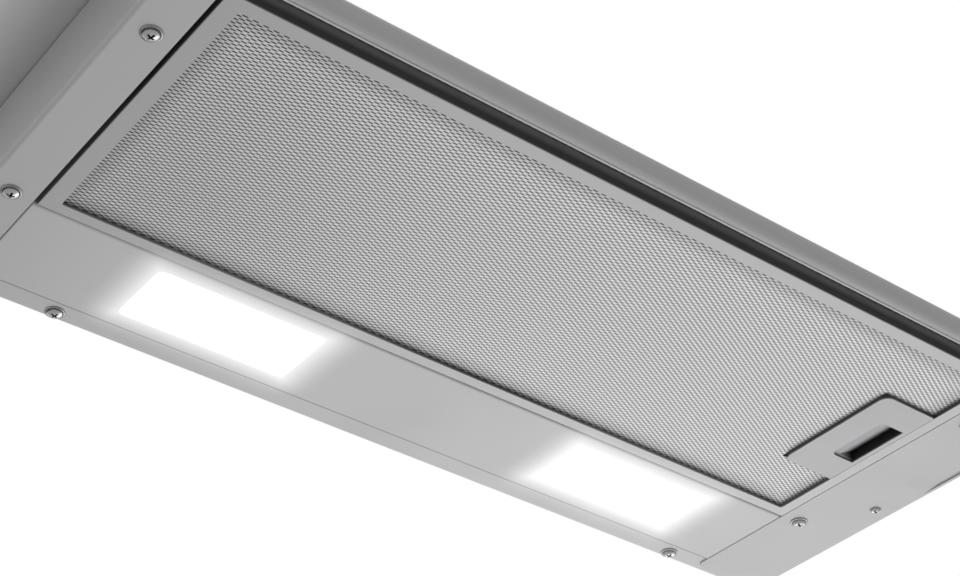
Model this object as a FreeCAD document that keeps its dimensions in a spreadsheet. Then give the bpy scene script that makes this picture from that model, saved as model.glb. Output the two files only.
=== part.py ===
"""Slide-out under cabinet range hood, as a parametric FreeCAD document.

The frame is in millimetres: +X to the user's right, +Y towards the wall, +Z up. The origin is the
centre of the four cabinet fixing holes, on the top face of the top plate, so the underside of the
tray lies at -tray_height and the duct collar points up.
"""
import FreeCAD, Part
import math
import os
import Sketcher

V = FreeCAD.Vector

SIZES = (
    # the tray under the cabinet
    ("hood_width", 598.0, "outside width of the tray"),
    ("tray_depth", 280.0, "depth of the tray behind the grip bar"),
    ("tray_height", 50.0, "underside to the top face of the top plate"),
    ("sheet", 1.0, "thickness of the folded tray sheets"),
    ("bend", 1.5, "inside radius of the folds"),
    ("channel_lip", 12.0, "width of the lips under the top plate"),
    ("cover_left", 26.4, "width of the left side cover"),
    ("cover_right", 54.4, "width of the right side cover"),
    ("cover_setback", 5.0, "rear edge of the side covers to the rear face"),
    ("cover_corner", 7.0, "radius of the rear inner corner of a side cover"),
    ("rear_strip", 16.0, "width of the strip along the rear edge"),
    ("lap", 4.0, "overlap of the rear strip on the light panel"),
    ("seam", 0.3, "gap between panels that lie edge to edge"),
    ("plate", 1.2, "thickness of the top plate"),
    ("plate_overhang", 36.0, "reach of the top plate beyond each side of the tray"),
    ("plate_corner", 6.0, "radius of the front corners of the top plate"),
    ("fixing_x", 634.0, "cabinet fixing holes, centre to centre across the hood"),
    ("fixing_y", 160.0, "cabinet fixing holes, centre to centre front to back"),
    ("fixing_radius", 2.75, "radius of a cabinet fixing hole"),
    ("intake_width", 360.0, "width of the opening between the tray and the upper housing"),
    ("intake_border", 22.0, "border of that opening to the upper housing, front and rear"),
    ("intake_corner", 10.0, "corner radius of that opening"),
    # the upper housing
    ("upper_width", 526.0, "width of the upper housing"),
    ("upper_height", 130.0, "height of the upper housing above the top plate"),
    ("upper_setback", 2.0, "rear of the tray to the rear of the upper housing"),
    ("upper_base", 236.0, "depth of the upper housing at the top plate"),
    ("upper_top", 136.0, "depth of the upper housing at its top"),
    ("upper_sheet", 0.8, "thickness of the upper housing sheets"),
    ("foot", 12.0, "width of the screwed feet of the upper housing"),
    # the duct collar and its damper
    ("duct_radius", 50.0, "outside radius of the duct spigot"),
    ("duct_wall", 2.0, "wall of the duct spigot"),
    ("duct_length", 38.0, "length of the duct spigot"),
    ("duct_back", 56.0, "rear of the tray to the axis of the duct"),
    ("collar_width", 136.0, "width of the square base of the duct collar"),
    ("collar_depth", 108.0, "depth of the square base of the duct collar"),
    ("collar_base", 2.5, "thickness of the base of the duct collar"),
    ("damper_rise", 9.0, "base of the collar to the damper pin"),
    ("damper_pin_radius", 1.5, "radius of the damper pin"),
    ("damper_thick", 1.2, "thickness of a damper flap"),
    ("knuckle_radius", 3.0, "radius of the knuckles on the damper flaps"),
    ("knuckle_length", 14.0, "length of each knuckle"),
    # the blower
    ("blower_back", 78.0, "rear of the tray to the blower axis"),
    ("blower_rise", 42.0, "top plate to the blower axis"),
    ("wheel_radius", 56.0, "outside radius of the blower wheel"),
    ("wheel_inner", 47.0, "inside radius of the blades"),
    ("wheel_length", 100.0, "length of the blower wheel"),
    ("blade_count", 36, "blades round the wheel"),
    ("blade_thick", 0.8, "thickness of a blade"),
    ("blade_curve", 6.6, "radius of the curve of a blade"),
    ("wheel_disc", 2.0, "thickness of the wheel's centre disc and end rings"),
    ("hub_radius", 9.0, "radius of the wheel's hub"),
    ("hub_length", 16.0, "length of the wheel's hub"),
    ("scroll_wall", 2.0, "wall of the moulded scroll"),
    ("scroll_gap", 3.0, "wheel end to the scroll cheek"),
    ("scroll_above", 59.0, "blower axis to the inside of the scroll, above"),
    ("scroll_ahead", 61.0, "blower axis to the inside of the scroll, in front"),
    ("scroll_below", 66.0, "blower axis to the inside of the scroll, below"),
    ("scroll_behind", 72.0, "blower axis to the inside of the scroll, behind"),
    ("scroll_tongue", 10.0, "blower axis to the tip of the scroll's tongue"),
    ("scroll_flare", 28.0, "blower axis to the front edge of the scroll's mouth"),
    ("scroll_bead", 1.5, "height of the bead along the scroll's split line"),
    ("inlet_radius", 45.0, "radius of the round inlets in the scroll cheeks"),
    ("motor_radius", 34.0, "radius of the motor"),
    ("motor_start", 14.0, "wheel's centre disc to the motor"),
    ("motor_length", 58.0, "length of the motor"),
    ("motor_flange", 4.0, "height of the motor's mounting flange"),
    ("arm_width", 12.0, "width of an arm of the motor bracket"),
    ("arm_reach", 60.0, "motor axis to the end of a bracket arm"),
    ("shaft_radius", 4.0, "radius of the motor shaft"),
    ("running", 0.05, "radial clearance of a turning fit"),
    # the light panel
    ("lamp_spacing", 283.0, "left lamp to right lamp, centre to centre"),
    ("lamp_back", 51.0, "rear of the tray to the centre of a lamp"),
    ("lamp_length", 104.0, "length of a lamp lens"),
    ("lamp_width", 46.0, "width of a lamp lens"),
    ("lamp_corner", 5.0, "corner radius of a lamp lens"),
    ("lamp_thick", 2.5, "thickness of a lamp lens"),
    ("lamp_case", 14.0, "height of a lamp case above its lens"),
    ("panel_flange", 10.0, "height of the light panel's front flange"),
    # the grease filter
    ("finger_gap", 10.5, "gap between the grip bar and the grease filter"),
    ("filter_depth", 184.3, "depth of the grease filter"),
    ("filter_height", 10.5, "height of the grease filter"),
    ("filter_gap", 2.7, "gap between the left cover and the grease filter"),
    ("filter_sheet", 0.8, "thickness of the filter frame sheet"),
    ("rim_left", 9.6, "left rim of the filter frame"),
    ("rim_right", 7.6, "right rim of the filter frame"),
    ("rim_near", 7.5, "front rim of the filter frame"),
    ("rim_far", 7.2, "rear rim of the filter frame"),
    ("filter_recess", 2.2, "underside of the frame up to the grease mesh"),
    ("mesh_thick", 0.6, "thickness of the grease mesh"),
    ("pivot_radius", 1.5, "radius of the filter's pivot pins"),
    ("pivot_inset", 3.9, "left side of the filter to its pivot axis"),
    ("pivot_rise", 5.0, "underside of the filter to its pivot axis"),
    ("pivot_reach", 2.6, "length of a pivot pin outside the frame"),
    ("latch_length", 84.0, "length of the latch plate along the rim"),
    ("latch_width", 39.3, "width of the latch plate"),
    ("latch_back", 177.35, "rear of the tray to the middle of the latch plate"),
    ("latch_corner", 6.0, "radius of the latch plate's free corners"),
    ("latch_height", 8.5, "height of the latch housing"),
    ("latch_wall", 1.2, "wall of the latch housing"),
    ("grip_length", 41.4, "length of the finger opening in the latch plate"),
    ("grip_width", 17.7, "width of the finger opening in the latch plate"),
    ("grip_edge", 3.0, "finger opening to the right edge of the latch plate"),
    ("scoop_width", 11.6, "width of the finger scoop in the latch slide"),
    ("latch_travel", 5.0, "travel of the latch slide"),
    ("spring_radius", 2.4, "outside radius of the latch spring"),
    ("spring_wire", 0.4, "radius of the latch spring's wire"),
    ("nose_width", 12.0, "width of the latch nose"),
    ("nose_thick", 3.2, "thickness of the latch nose"),
    ("nose_reach", 4.0, "reach of the latch nose beyond the filter frame"),
    ("play", 0.3, "working clearance of sliding and lifting pieces"),
    # the slide-out visor
    ("visor_depth", 147.0, "depth of the visor behind the grip bar"),
    ("visor_drop", 35.0, "top plate to the underside of the visor"),
    ("visor_top", 13.0, "top plate to the top of the visor"),
    ("visor_sheet", 0.8, "thickness of the visor sheet"),
    ("visor_lip", 8.0, "width of the lips that carry the visor mesh"),
    ("visor_slope", 18.0, "set-back of the visor's top behind its front edge"),
    ("visor_flange", 12.0, "drop of the visor's front flange, which carries the grip bar"),
    ("bar_radius", 7.0, "radius of the half-round grip bar"),
    ("bar_wall", 1.6, "wall of the grip bar"),
    ("bar_lip", 1.2, "rear wall of the grip bar and width of the lip below it"),
    ("bar_edge", 0.5, "height of the lip below the grip bar"),
    ("cap_thick", 3.0, "thickness of an end cap of the grip bar"),
    ("cap_plug", 8.0, "depth of an end cap's plug inside the grip bar"),
    # the telescopic slides
    ("rail_height", 27.0, "height of a slide's fixed member"),
    ("rail_width", 13.2, "width of a closed slide"),
    ("rail_sheet", 1.2, "thickness of the slide members"),
    ("rail_play", 0.5, "play between nested slide members"),
    ("rail_setback", 2.0, "front of the tray to the front ends of the slides"),
    ("rail_length", 196.0, "length of a slide's fixed member"),
    ("rail_inner", 190.0, "length of a slide's moving members"),
    ("rail_drop", 11.0, "top plate to the top of the slides"),
    ("rail_seat_right", 36.0, "right side of the tray to the right slide's seat"),
    ("bracket", 1.2, "thickness of the slide brackets"),
    ("bracket_left", 18.0, "width of the left slide bracket's foot"),
    ("bracket_right", 11.0, "width of the right slide bracket's foot"),
    # controls and electrics
    ("control_left", 275.0, "hood's centre to the left edge of the control recess"),
    ("control_width", 20.4, "width of the control recess"),
    ("control_back", 157.7, "rear of the tray to the rear edge of the control recess"),
    ("control_length", 104.3, "length of the control recess"),
    ("knob_length", 8.0, "length of a slide switch knob"),
    ("knob_width", 11.0, "width of a slide switch knob"),
    ("knob_height", 2.2, "height of a knob below its fascia"),
    ("light_knob_back", 214.0, "rear of the tray to the light knob when off"),
    ("speed_knob_back", 236.0, "rear of the tray to the fan knob when off"),
    ("light_travel", 8.0, "travel of the light knob"),
    ("speed_travel", 12.0, "travel of the fan knob"),
    ("screw_head", 4.0, "radius of a cover screw head"),
    ("screw_washer", 5.5, "radius of the collar under a cover screw head"),
    ("screw_shank", 1.75, "radius of a cover screw shank"),
    ("screw_hole", 1.9, "radius of a hole for a screw"),
    ("screw_rise", 2.0, "height of the domed head of a screw"),
    ("screw_collar", 0.8, "thickness of the collar under a screw head"),
    ("screw_length", 9.0, "length of a cover screw shank"),
    ("screw_back_far", 86.6, "rear of the tray to the rear cover screws"),
    ("screw_pitch", 139.8, "rear cover screw to front cover screw"),
    ("screw_left", 14.2, "left side of the tray to the left cover screws"),
    ("screw_right", 41.0, "right side of the tray to the right cover screws"),
    ("strip_screw_x", 219.8, "hood's centre to a rear strip screw"),
    ("strip_screw_back", 6.7, "rear of the tray to the rear strip screws"),
    ("fascia_screw_back", 125.9, "rear of the tray to the fascia screw"),
    ("fascia_screw_side", 13.4, "right side of the tray to the fascia screw"),
    ("gland_inset", 60.0, "left side of the upper housing to the cable gland"),
    ("gland_radius", 8.0, "radius of the cable gland's thread"),
    ("gland_bore", 3.6, "radius of the cable gland's bore"),
    ("box_width", 66.0, "width of the terminal box"),
    ("box_depth", 56.0, "depth of the terminal box"),
    ("box_height", 28.0, "height of the terminal box"),
    ("capacitor_radius", 15.0, "radius of the motor capacitor"),
    ("capacitor_height", 55.0, "height of the motor capacitor"),
    ("driver_length", 60.0, "length of the lamp driver"),
    ("driver_width", 40.0, "width of the lamp driver"),
    ("lug_height", 8.5, "height of the filter's front pivot lug"),
)


class Size:
    """A length that carries both its number and the spreadsheet expression behind it."""

    def __init__(self, value, text=None):
        self.value = float(value)
        self.text = text or repr(float(value))

    def __add__(self, other):
        other = size(other)
        return Size(self.value + other.value, "(%s + %s)" % (self.text, other.text))

    def __sub__(self, other):
        other = size(other)
        return Size(self.value - other.value, "(%s - %s)" % (self.text, other.text))

    def __mul__(self, other):
        other = size(other)
        return Size(self.value * other.value, "(%s * %s)" % (self.text, other.text))

    def __truediv__(self, other):
        other = size(other)
        return Size(self.value / other.value, "(%s / %s)" % (self.text, other.text))

    def __neg__(self):
        return Size(-self.value, "(-1 * %s)" % self.text)

    __radd__ = __add__
    __rmul__ = __mul__

    def __rsub__(self, other):
        return size(other) - self


def size(number):
    return number if isinstance(number, Size) else Size(number)


def low(first, second):
    return first if first.value <= second.value else second


def high(first, second):
    return second if first.value <= second.value else first


class Sheet:
    """The driving dimensions, as named Size values bound to the document's spreadsheet."""

    def __init__(self, document):
        table = document.addObject("Spreadsheet::Sheet", "Sizes")
        for row, (alias, value, meaning) in enumerate(SIZES, 1):
            table.set("A%d" % row, meaning)
            table.set("B%d" % row, repr(value))
            table.setAlias("B%d" % row, alias)
            setattr(self, alias, Size(value, "Sizes." + alias))
        document.recompute()


doc = FreeCAD.newDocument("range_hood")
S = Sheet(doc)
PIECES = []


# Places that several pieces share.
y_back = S.tray_depth / 2
y_front = -y_back
x_side = S.hood_width / 2
z_under = -S.tray_height
z_plate = -S.plate
x_cover_left = S.cover_left - x_side
x_cover_right = x_side - S.cover_right
y_upper_back = y_back - S.upper_setback
y_upper_front = y_upper_back - S.upper_base
y_duct = y_back - S.duct_back
y_blower = y_back - S.blower_back
z_blower = S.blower_rise
y_filter_front = y_front + S.finger_gap
y_filter_back = y_filter_front + S.filter_depth
x_filter_left = x_cover_left + S.filter_gap
x_filter_right = x_cover_right - S.seam
x_mesh_left = x_filter_left + S.rim_left
x_mesh_right = x_filter_right - S.rim_right
y_mesh_front = y_filter_front + S.rim_near
y_mesh_back = y_filter_back - S.rim_far
z_mesh = z_under + S.filter_recess
z_shelf = z_mesh + S.mesh_thick + S.sheet
x_pivot = x_filter_left + S.pivot_inset
z_pivot = z_under + S.pivot_rise
y_panel_front = y_filter_back + S.seam
y_panel_back = y_back - S.rear_strip - S.seam
y_lamp = y_back - S.lamp_back
y_latch = y_back - S.latch_back
z_visor_under = -S.visor_drop
z_visor_top = -S.visor_top
x_rail_left = S.sheet + S.bracket - x_side
x_rail_right = x_side - S.rail_seat_right - S.bracket
x_visor_left = x_rail_left + S.rail_width
x_visor_right = x_rail_right - S.rail_width
z_rail_top = -S.rail_drop
z_rail_under = z_rail_top - S.rail_height
y_control_back = y_back - S.control_back
y_control_front = y_control_back - S.control_length
z_fascia = z_under + S.sheet
x_screw_left = S.screw_left - x_side
x_screw_right = x_side - S.screw_right
y_screw = y_back - S.screw_back_far
y_strip_screw = y_back - S.strip_screw_back
x_fascia_screw = x_side - S.fascia_screw_side
y_fascia_screw = y_back - S.fascia_screw_back
x_gland = S.gland_inset - S.upper_width / 2
x_latch_right = x_mesh_right - S.seam
x_latch_left = x_latch_right - S.latch_width
z_pocket = z_under + S.latch_wall
z_latch = z_under + S.latch_height
x_slide = x_latch_left + S.latch_wall + S.latch_travel + S.play * 4
x_spring_end = x_slide + S.scoop_width
z_spring = z_under + S.pivot_rise - S.play


# Sketches and features.
def body(label):
    piece = doc.addObject("PartDesign::Body", label)
    piece.Label = label
    PIECES.append(piece)
    return piece


def bind(target, name, number):
    """Sets a property to a Size's number and binds it to the Size's expression."""
    number = size(number)
    setattr(target, name, type(getattr(target, name))(number.value))
    target.setExpression(name, number.text)


def new_sketch(piece, plane, offset):
    """An empty sketch on one of the body's own origin planes, moved along the plane's normal."""
    sketch = piece.newObject("Sketcher::SketchObject", piece.Label + "_sketch")
    support = [item for item in piece.Origin.OriginFeatures if item.Role == plane + "_Plane"][0]
    sketch.AttachmentSupport = [(support, "")]
    sketch.MapMode = "FlatFace"
    offset = -size(offset) if plane == "XZ" else size(offset)
    sketch.AttachmentOffset = FreeCAD.Placement(V(0, 0, offset.value), FreeCAD.Rotation())
    sketch.setExpression("AttachmentOffset.Base.z", offset.text)
    return sketch


def pin_point(sketch, geometry, position, point):
    for kind, number in zip(("DistanceX", "DistanceY"), point):
        index = sketch.addConstraint(Sketcher.Constraint(kind, geometry, position, number.value))
        sketch.setExpression("Constraints[%d]" % index, number.text)


def sign(number):
    return (number > 1e-9) - (number < -1e-9)


def rounded(corners):
    """Lists the points of an outline, each with the arc (centre, radius) that starts there or None.

    A corner (x, y, radius) between two edges along the axes becomes an arc; at a corner
    (x, y, (centre_x, centre_y, radius)) an arc about that centre starts and runs to the next corner.
    """
    points = []
    count = len(corners)
    for index, corner in enumerate(corners):
        x, y = size(corner[0]), size(corner[1])
        if len(corner) == 2:
            points.append(((x, y), None))
            continue
        if isinstance(corner[2], tuple):
            centre_x, centre_y, radius = (size(number) for number in corner[2])
            points.append(((x, y), ((centre_x, centre_y), radius)))
            continue
        radius = size(corner[2])
        before, after = corners[index - 1], corners[(index + 1) % count]
        into = (sign(size(before[0]).value - x.value), sign(size(before[1]).value - y.value))
        out = (sign(size(after[0]).value - x.value), sign(size(after[1]).value - y.value))
        start = (x + radius * into[0], y + radius * into[1])
        finish = (x + radius * out[0], y + radius * out[1])
        centre = (start[0] + radius * out[0], start[1] + radius * out[1])
        points.append((start, (centre, radius)))
        points.append((finish, None))
    return [item for index, item in enumerate(points)
            if item[1] or gap_to(item[0], points[(index + 1) % len(points)][0]) > 1e-6]


def gap_to(first, second):
    return math.hypot(first[0].value - second[0].value, first[1].value - second[1].value)


def outline(*corners):
    """A closed loop of straight edges; a corner is (x, y) or (x, y, radius)."""
    return "loop", corners


def rectangle(x0, y0, x1, y1, radius=None):
    rest = () if radius is None else (radius,)
    return outline((x0, y0) + rest, (x1, y0) + rest, (x1, y1) + rest, (x0, y1) + rest)


def disc(x, y, radius):
    return "disc", (x, y, radius)


def draw(sketch, shape):
    kind, data = shape
    if kind == "disc":
        x, y, radius = (size(number) for number in data)
        circle = Part.Circle(V(x.value, y.value, 0), V(0, 0, 1), radius.value)
        geometry = sketch.addGeometry(circle)
        pin_point(sketch, geometry, 3, (x, y))
        index = sketch.addConstraint(Sketcher.Constraint("Radius", geometry, radius.value))
        sketch.setExpression("Constraints[%d]" % index, radius.text)
        return
    points = rounded(data)
    ends = []
    for index, (point, arc) in enumerate(points):
        following = points[(index + 1) % len(points)][0]
        start = V(point[0].value, point[1].value, 0)
        finish = V(following[0].value, following[1].value, 0)
        if arc is None:
            geometry = sketch.addGeometry(Part.LineSegment(start, finish))
            ends.append((geometry, 1, 2))
            continue
        centre, radius = arc
        middle = V(centre[0].value, centre[1].value, 0)
        first = math.atan2(start.y - middle.y, start.x - middle.x)
        second = math.atan2(finish.y - middle.y, finish.x - middle.x)
        turn = (second - first) % (2 * math.pi)
        if turn > math.pi:
            first, second = second, first
        circle = Part.Circle(middle, V(0, 0, 1), radius.value)
        second = first + (second - first) % (2 * math.pi)
        geometry = sketch.addGeometry(Part.ArcOfCircle(circle, first, second))
        ends.append((geometry, 2, 1) if turn > math.pi else (geometry, 1, 2))
        number = sketch.addConstraint(Sketcher.Constraint("Radius", geometry, radius.value))
        sketch.setExpression("Constraints[%d]" % number, radius.text)
    for index, (geometry, start, finish) in enumerate(ends):
        pin_point(sketch, geometry, start, points[index][0])
        following = ends[(index + 1) % len(ends)]
        join = Sketcher.Constraint("Coincident", geometry, finish, following[0], following[1])
        sketch.addConstraint(join)


def settle(piece, feature):
    """Recomputes one new feature and stops if it failed."""
    piece.Tip = feature
    doc.recompute()
    if {"Invalid", "Error"} & set(feature.State) or feature.Shape.isNull():
        raise RuntimeError("%s: %s failed" % (piece.Label, feature.Name))
    return feature


def extrude(piece, plane, start, end, *shapes, cut=False):
    """Pads or pockets shapes drawn on a plane between two places along that plane's axis."""
    start, end = size(start), size(end)
    sketch = new_sketch(piece, plane, end if plane == "XZ" else start)
    for shape in shapes:
        draw(sketch, shape)
    before = piece.Shape.Volume if cut else 0.0
    feature = piece.newObject("PartDesign::Pocket" if cut else "PartDesign::Pad", piece.Label + "_step")
    feature.Profile = sketch
    feature.Reversed = cut
    bind(feature, "Length", end - start)
    settle(piece, feature)
    if cut and not feature.Shape.Volume < before - 1e-6:
        raise RuntimeError("%s: a pocket cut nothing" % piece.Label)
    return feature


def revolve(piece, corners, plane="XZ", offset=0, axis="V_Axis", angle=360):
    sketch = new_sketch(piece, plane, offset)
    draw(sketch, outline(*corners))
    feature = piece.newObject("PartDesign::Revolution", piece.Label + "_turned")
    feature.Profile = sketch
    feature.ReferenceAxis = (sketch, [axis])
    feature.Angle = angle
    return settle(piece, feature)


def ease(piece, kind, name, number, test):
    """Rounds or bevels the edges whose bounding boxes pass a test."""
    base = piece.Tip
    names = ["Edge%d" % place for place, edge in enumerate(base.Shape.Edges, 1) if test(edge.BoundBox)]
    if not names:
        raise RuntimeError("%s: no edge to ease" % piece.Label)
    feature = piece.newObject("PartDesign::" + kind, piece.Label + "_edge")
    feature.Base = (base, names)
    bind(feature, name, number)
    return settle(piece, feature)


def fillet(piece, radius, test):
    return ease(piece, "Fillet", "Radius", radius, test)


def chamfer(piece, length, test):
    return ease(piece, "Chamfer", "Size", length, test)


def level_with(number):
    """A test for edges that lie level at a height."""
    return lambda box: box.ZLength < 0.01 and abs(box.ZMin - size(number).value) < 0.01


def shell(piece, wall, test):
    """Hollows the body to a wall thickness, open at the faces whose centre and normal pass a test."""
    base = piece.Tip
    names = []
    for number, face in enumerate(base.Shape.Faces, 1):
        if test(face.CenterOfMass, face.normalAt(0, 0)):
            names.append("Face%d" % number)
    feature = piece.newObject("PartDesign::Thickness", piece.Label + "_hollow")
    feature.Base = (base, names)
    feature.Reversed = True
    bind(feature, "Value", wall)
    return settle(piece, feature)


def place(piece, x=0, y=0, z=0):
    for axis, number in zip("xyz", (x, y, z)):
        number = size(number)
        piece.setExpression("Placement.Base." + axis, number.text)
    piece.Placement.Base = V(size(x).value, size(y).value, size(z).value)


# The tray.
def top_plate():
    """The plate that lies against the cabinet and carries everything else."""
    piece = body("top_plate")
    half = x_side + S.plate_overhang
    y0 = y_upper_front - S.foot - S.sheet
    extrude(piece, "XY", z_plate, 0, outline((-half, y0, S.plate_corner), (half, y0, S.plate_corner),
                                              (half, y_back), (-half, y_back)))
    extrude(piece, "XY", z_plate, 0,
            rectangle(-S.intake_width / 2, y_upper_front + S.intake_border,
                      S.intake_width / 2, y_upper_back - S.intake_border / 2, S.intake_corner), cut=True)
    holes = [disc(S.fixing_x / 2 * side, S.fixing_y / 2 * end, S.fixing_radius)
             for side in (-1, 1) for end in (-1, 1)]
    extrude(piece, "XY", z_plate, 0, *holes, *foot_holes(), cut=True)


def foot_places():
    """Where screws hold the feet of the upper housing to the top plate."""
    across = S.upper_width / 2 + S.foot / 2
    along = (y_upper_front + S.foot * 3, y_upper_back - S.foot * 3)
    return ([(across * side, y) for side in (-1, 1) for y in along]
            + [(S.upper_width * step / 3, y_upper_front - S.foot / 2) for step in (-1, 0, 1)])


def foot_holes():
    return [disc(x, y, S.screw_hole) for x, y in foot_places()]


def side_channel(label, side, width):
    """A folded C: the side cover below, the outer wall, and a lip under the top plate."""
    piece = body(label)
    outer, inner = x_side * side, (x_side - S.sheet) * side
    cover, lip = (x_side - width) * side, (x_side - S.channel_lip) * side
    bend, round_out = S.bend, S.bend + S.sheet
    extrude(piece, "XZ", y_front, y_back, outline(
        (cover, z_under), (outer, z_under, round_out), (outer, z_plate, round_out), (lip, z_plate),
        (lip, z_plate - S.sheet), (inner, z_plate - S.sheet, bend), (inner, z_under + S.sheet, bend),
        (cover, z_under + S.sheet)))
    edge = y_back - S.cover_setback
    web = (x_side - round_out) * side
    x0, x1 = (cover, web) if side < 0 else (web, cover)
    extrude(piece, "XY", z_under, z_fascia, rectangle(low(x0, x1), edge, high(x0, x1), y_back), cut=True)
    fillet(piece, S.cover_corner, lambda box: box.ZLength > 0.1 and box.XLength < 0.01
           and abs(box.XMin - cover.value) < 0.01 and abs(box.YMin - edge.value) < 0.01)
    return piece


def cover_holes(piece, x, z0, z1):
    """The two holes for the cover screws on one side of the tray."""
    places = [disc(x, y, S.screw_hole) for y in (y_screw, y_screw - S.screw_pitch)]
    extrude(piece, "XY", z0, z1, *places, cut=True)


def left_side_channel():
    piece = side_channel("left_side_channel", -1, S.cover_left)
    cover_holes(piece, x_screw_left, z_under, z_fascia)


def right_side_channel():
    """The right channel is wider below and has the window for the control fascia."""
    piece = side_channel("right_side_channel", 1, S.cover_right)
    cover_holes(piece, x_screw_right, z_under, z_fascia)
    extrude(piece, "XY", z_under, z_fascia, disc(x_fascia_screw, y_fascia_screw, S.screw_hole),
            rectangle(S.control_left, y_control_front, S.control_left + S.control_width, y_control_back),
            cut=True)


def rear_channel():
    """The rear wall, with the visible strip below and a lip under the top plate."""
    piece = body("rear_channel")
    half = x_side - S.sheet - S.bend - S.seam
    z0 = z_under + S.sheet
    bend, round_out = S.bend, S.bend + S.sheet
    tuck = y_back - S.rear_strip - S.lap
    extrude(piece, "YZ", -half, half, outline(
        (tuck, z0), (y_back, z0, round_out), (y_back, z_plate, round_out), (y_back - S.channel_lip, z_plate),
        (y_back - S.channel_lip, z_plate - S.sheet), (y_back - S.sheet, z_plate - S.sheet, bend),
        (y_back - S.sheet, z0 + S.sheet, bend), (tuck, z0 + S.sheet)))
    notch = x_side - S.channel_lip - S.seam
    for side in (-1, 1):
        x0, x1 = notch * side, half * side
        extrude(piece, "XY", z_plate - round_out, z_plate,
                rectangle(low(x0, x1), y_back - S.channel_lip, high(x0, x1), y_back), cut=True)
    holes = [disc(S.strip_screw_x * side, y_strip_screw, S.screw_hole) for side in (-1, 1)]
    extrude(piece, "XY", z0, z0 + S.sheet, *holes, cut=True)


def light_panel():
    """The panel with the two lamp windows; its front flange also holds the filter's rear pin."""
    piece = body("light_panel")
    x0, x1 = x_cover_left + S.seam, x_cover_right - S.seam
    bend, round_out = S.bend, S.bend + S.sheet
    y0, z1 = y_panel_front, z_under + S.panel_flange
    extrude(piece, "YZ", x0, x1, outline(
        (y_panel_back, z_under), (y_panel_back, z_under + S.sheet), (y0 + S.sheet, z_under + S.sheet, bend),
        (y0 + S.sheet, z1), (y0, z1), (y0, z_under, round_out)))
    lamps = [lamp_window(side, S.seam / 2) for side in (-1, 1)]
    extrude(piece, "XY", z_under, z_under + S.sheet, *lamps, cut=True)
    extrude(piece, "XZ", y0, y0 + S.sheet, disc(x_pivot, z_pivot, S.pivot_radius + S.running), cut=True)


def lamp_window(side, gap):
    x = S.lamp_spacing / 2 * side
    half_x, half_y = S.lamp_length / 2 + gap, S.lamp_width / 2 + gap
    return rectangle(x - half_x, y_lamp - half_y, x + half_x, y_lamp + half_y, S.lamp_corner)


def lamp(name, side):
    """A lens, flush in the light panel, under the case of its LED board."""
    lens = body("led_lens_" + name)
    extrude(lens, "XY", z_under, z_under + S.lamp_thick, lamp_window(side, 0))
    rim = S.lap
    case = body("led_module_" + name)
    z0 = z_under + S.sheet
    extrude(case, "XY", z0, z0 + S.lamp_case, lamp_window(side, rim))
    fillet(case, S.bend, level_with(z0 + S.lamp_case))
    extrude(case, "XY", z0, z_under + S.lamp_thick, lamp_window(side, S.seam / 2), cut=True)


# The upper housing. Its top sheet ends at the edges of its two folds.
z_fold = S.upper_height - S.bend - S.upper_sheet - S.seam


def slope_y(z):
    """Where the outside of the sloped front is, at a height."""
    return y_upper_front + (S.upper_base - S.upper_top) * z / S.upper_height


def round_top_corners(piece):
    """Rounds the folds along the front and rear of the upper housing's top."""
    fillet(piece, S.bend + S.upper_sheet, lambda box: box.YLength < 0.01
           and abs(box.ZMin - S.upper_height.value) < 0.01)


def upper_top():
    """The top sheet, with its front and rear edges turned down, and the holes for duct and cable."""
    piece = body("upper_top")
    half = S.upper_width / 2 - S.upper_sheet
    extrude(piece, "YZ", -half, half, outline(
        (y_upper_back, z_fold), (y_upper_back, S.upper_height), (slope_y(S.upper_height), S.upper_height),
        (slope_y(z_fold), z_fold)))
    round_top_corners(piece)
    shell(piece, S.upper_sheet, lambda centre, normal: abs(normal.x) > 0.9 or normal.z < -0.9)
    holes = [disc(x, y_duct + y, S.screw_hole) for x, y in collar_places()]
    extrude(piece, "XY", S.upper_height - S.upper_sheet * 2, S.upper_height,
            disc(0, y_duct, S.duct_radius - S.duct_wall), disc(x_gland, y_duct, S.gland_radius), *holes,
            cut=True)


def upper_rear():
    piece = body("upper_rear")
    half = S.upper_width / 2 - S.upper_sheet
    extrude(piece, "XZ", y_upper_back - S.upper_sheet, y_upper_back,
            rectangle(-half, 0, half, z_fold))


def upper_front():
    """The sloped front, with the screwed foot along its lower edge."""
    piece = body("upper_front")
    half = S.upper_width / 2 - S.upper_sheet
    slant = S.upper_sheet * 1.26
    extrude(piece, "YZ", -half, half, outline(
        (slope_y(size(0)), 0), (slope_y(size(0)) + slant, 0), (slope_y(z_fold) + slant, z_fold),
        (slope_y(z_fold), z_fold)))
    extrude(piece, "XY", 0, S.upper_sheet,
            rectangle(-half, y_upper_front - S.foot, half, y_upper_front + S.upper_sheet))
    extrude(piece, "XY", 0, S.upper_sheet, *foot_holes()[4:], cut=True)


def upper_cheek(label, side):
    """An end plate of the upper housing, with a foot turned outwards."""
    piece = body(label)
    face, inner = S.upper_width / 2 * side, (S.upper_width / 2 - S.upper_sheet) * side
    extrude(piece, "YZ", low(face, inner), high(face, inner), outline(
        (y_upper_back, 0), (y_upper_back, S.upper_height), (slope_y(S.upper_height), S.upper_height),
        (y_upper_front, 0)))
    round_top_corners(piece)
    toe = (S.upper_width / 2 + S.foot) * side
    extrude(piece, "XY", 0, S.upper_sheet,
            rectangle(low(inner, toe), y_upper_front + S.foot, high(inner, toe), y_upper_back - S.foot))
    holes = foot_holes()[:2] if side < 0 else foot_holes()[2:4]
    extrude(piece, "XY", 0, S.upper_sheet, *holes, cut=True)


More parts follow.
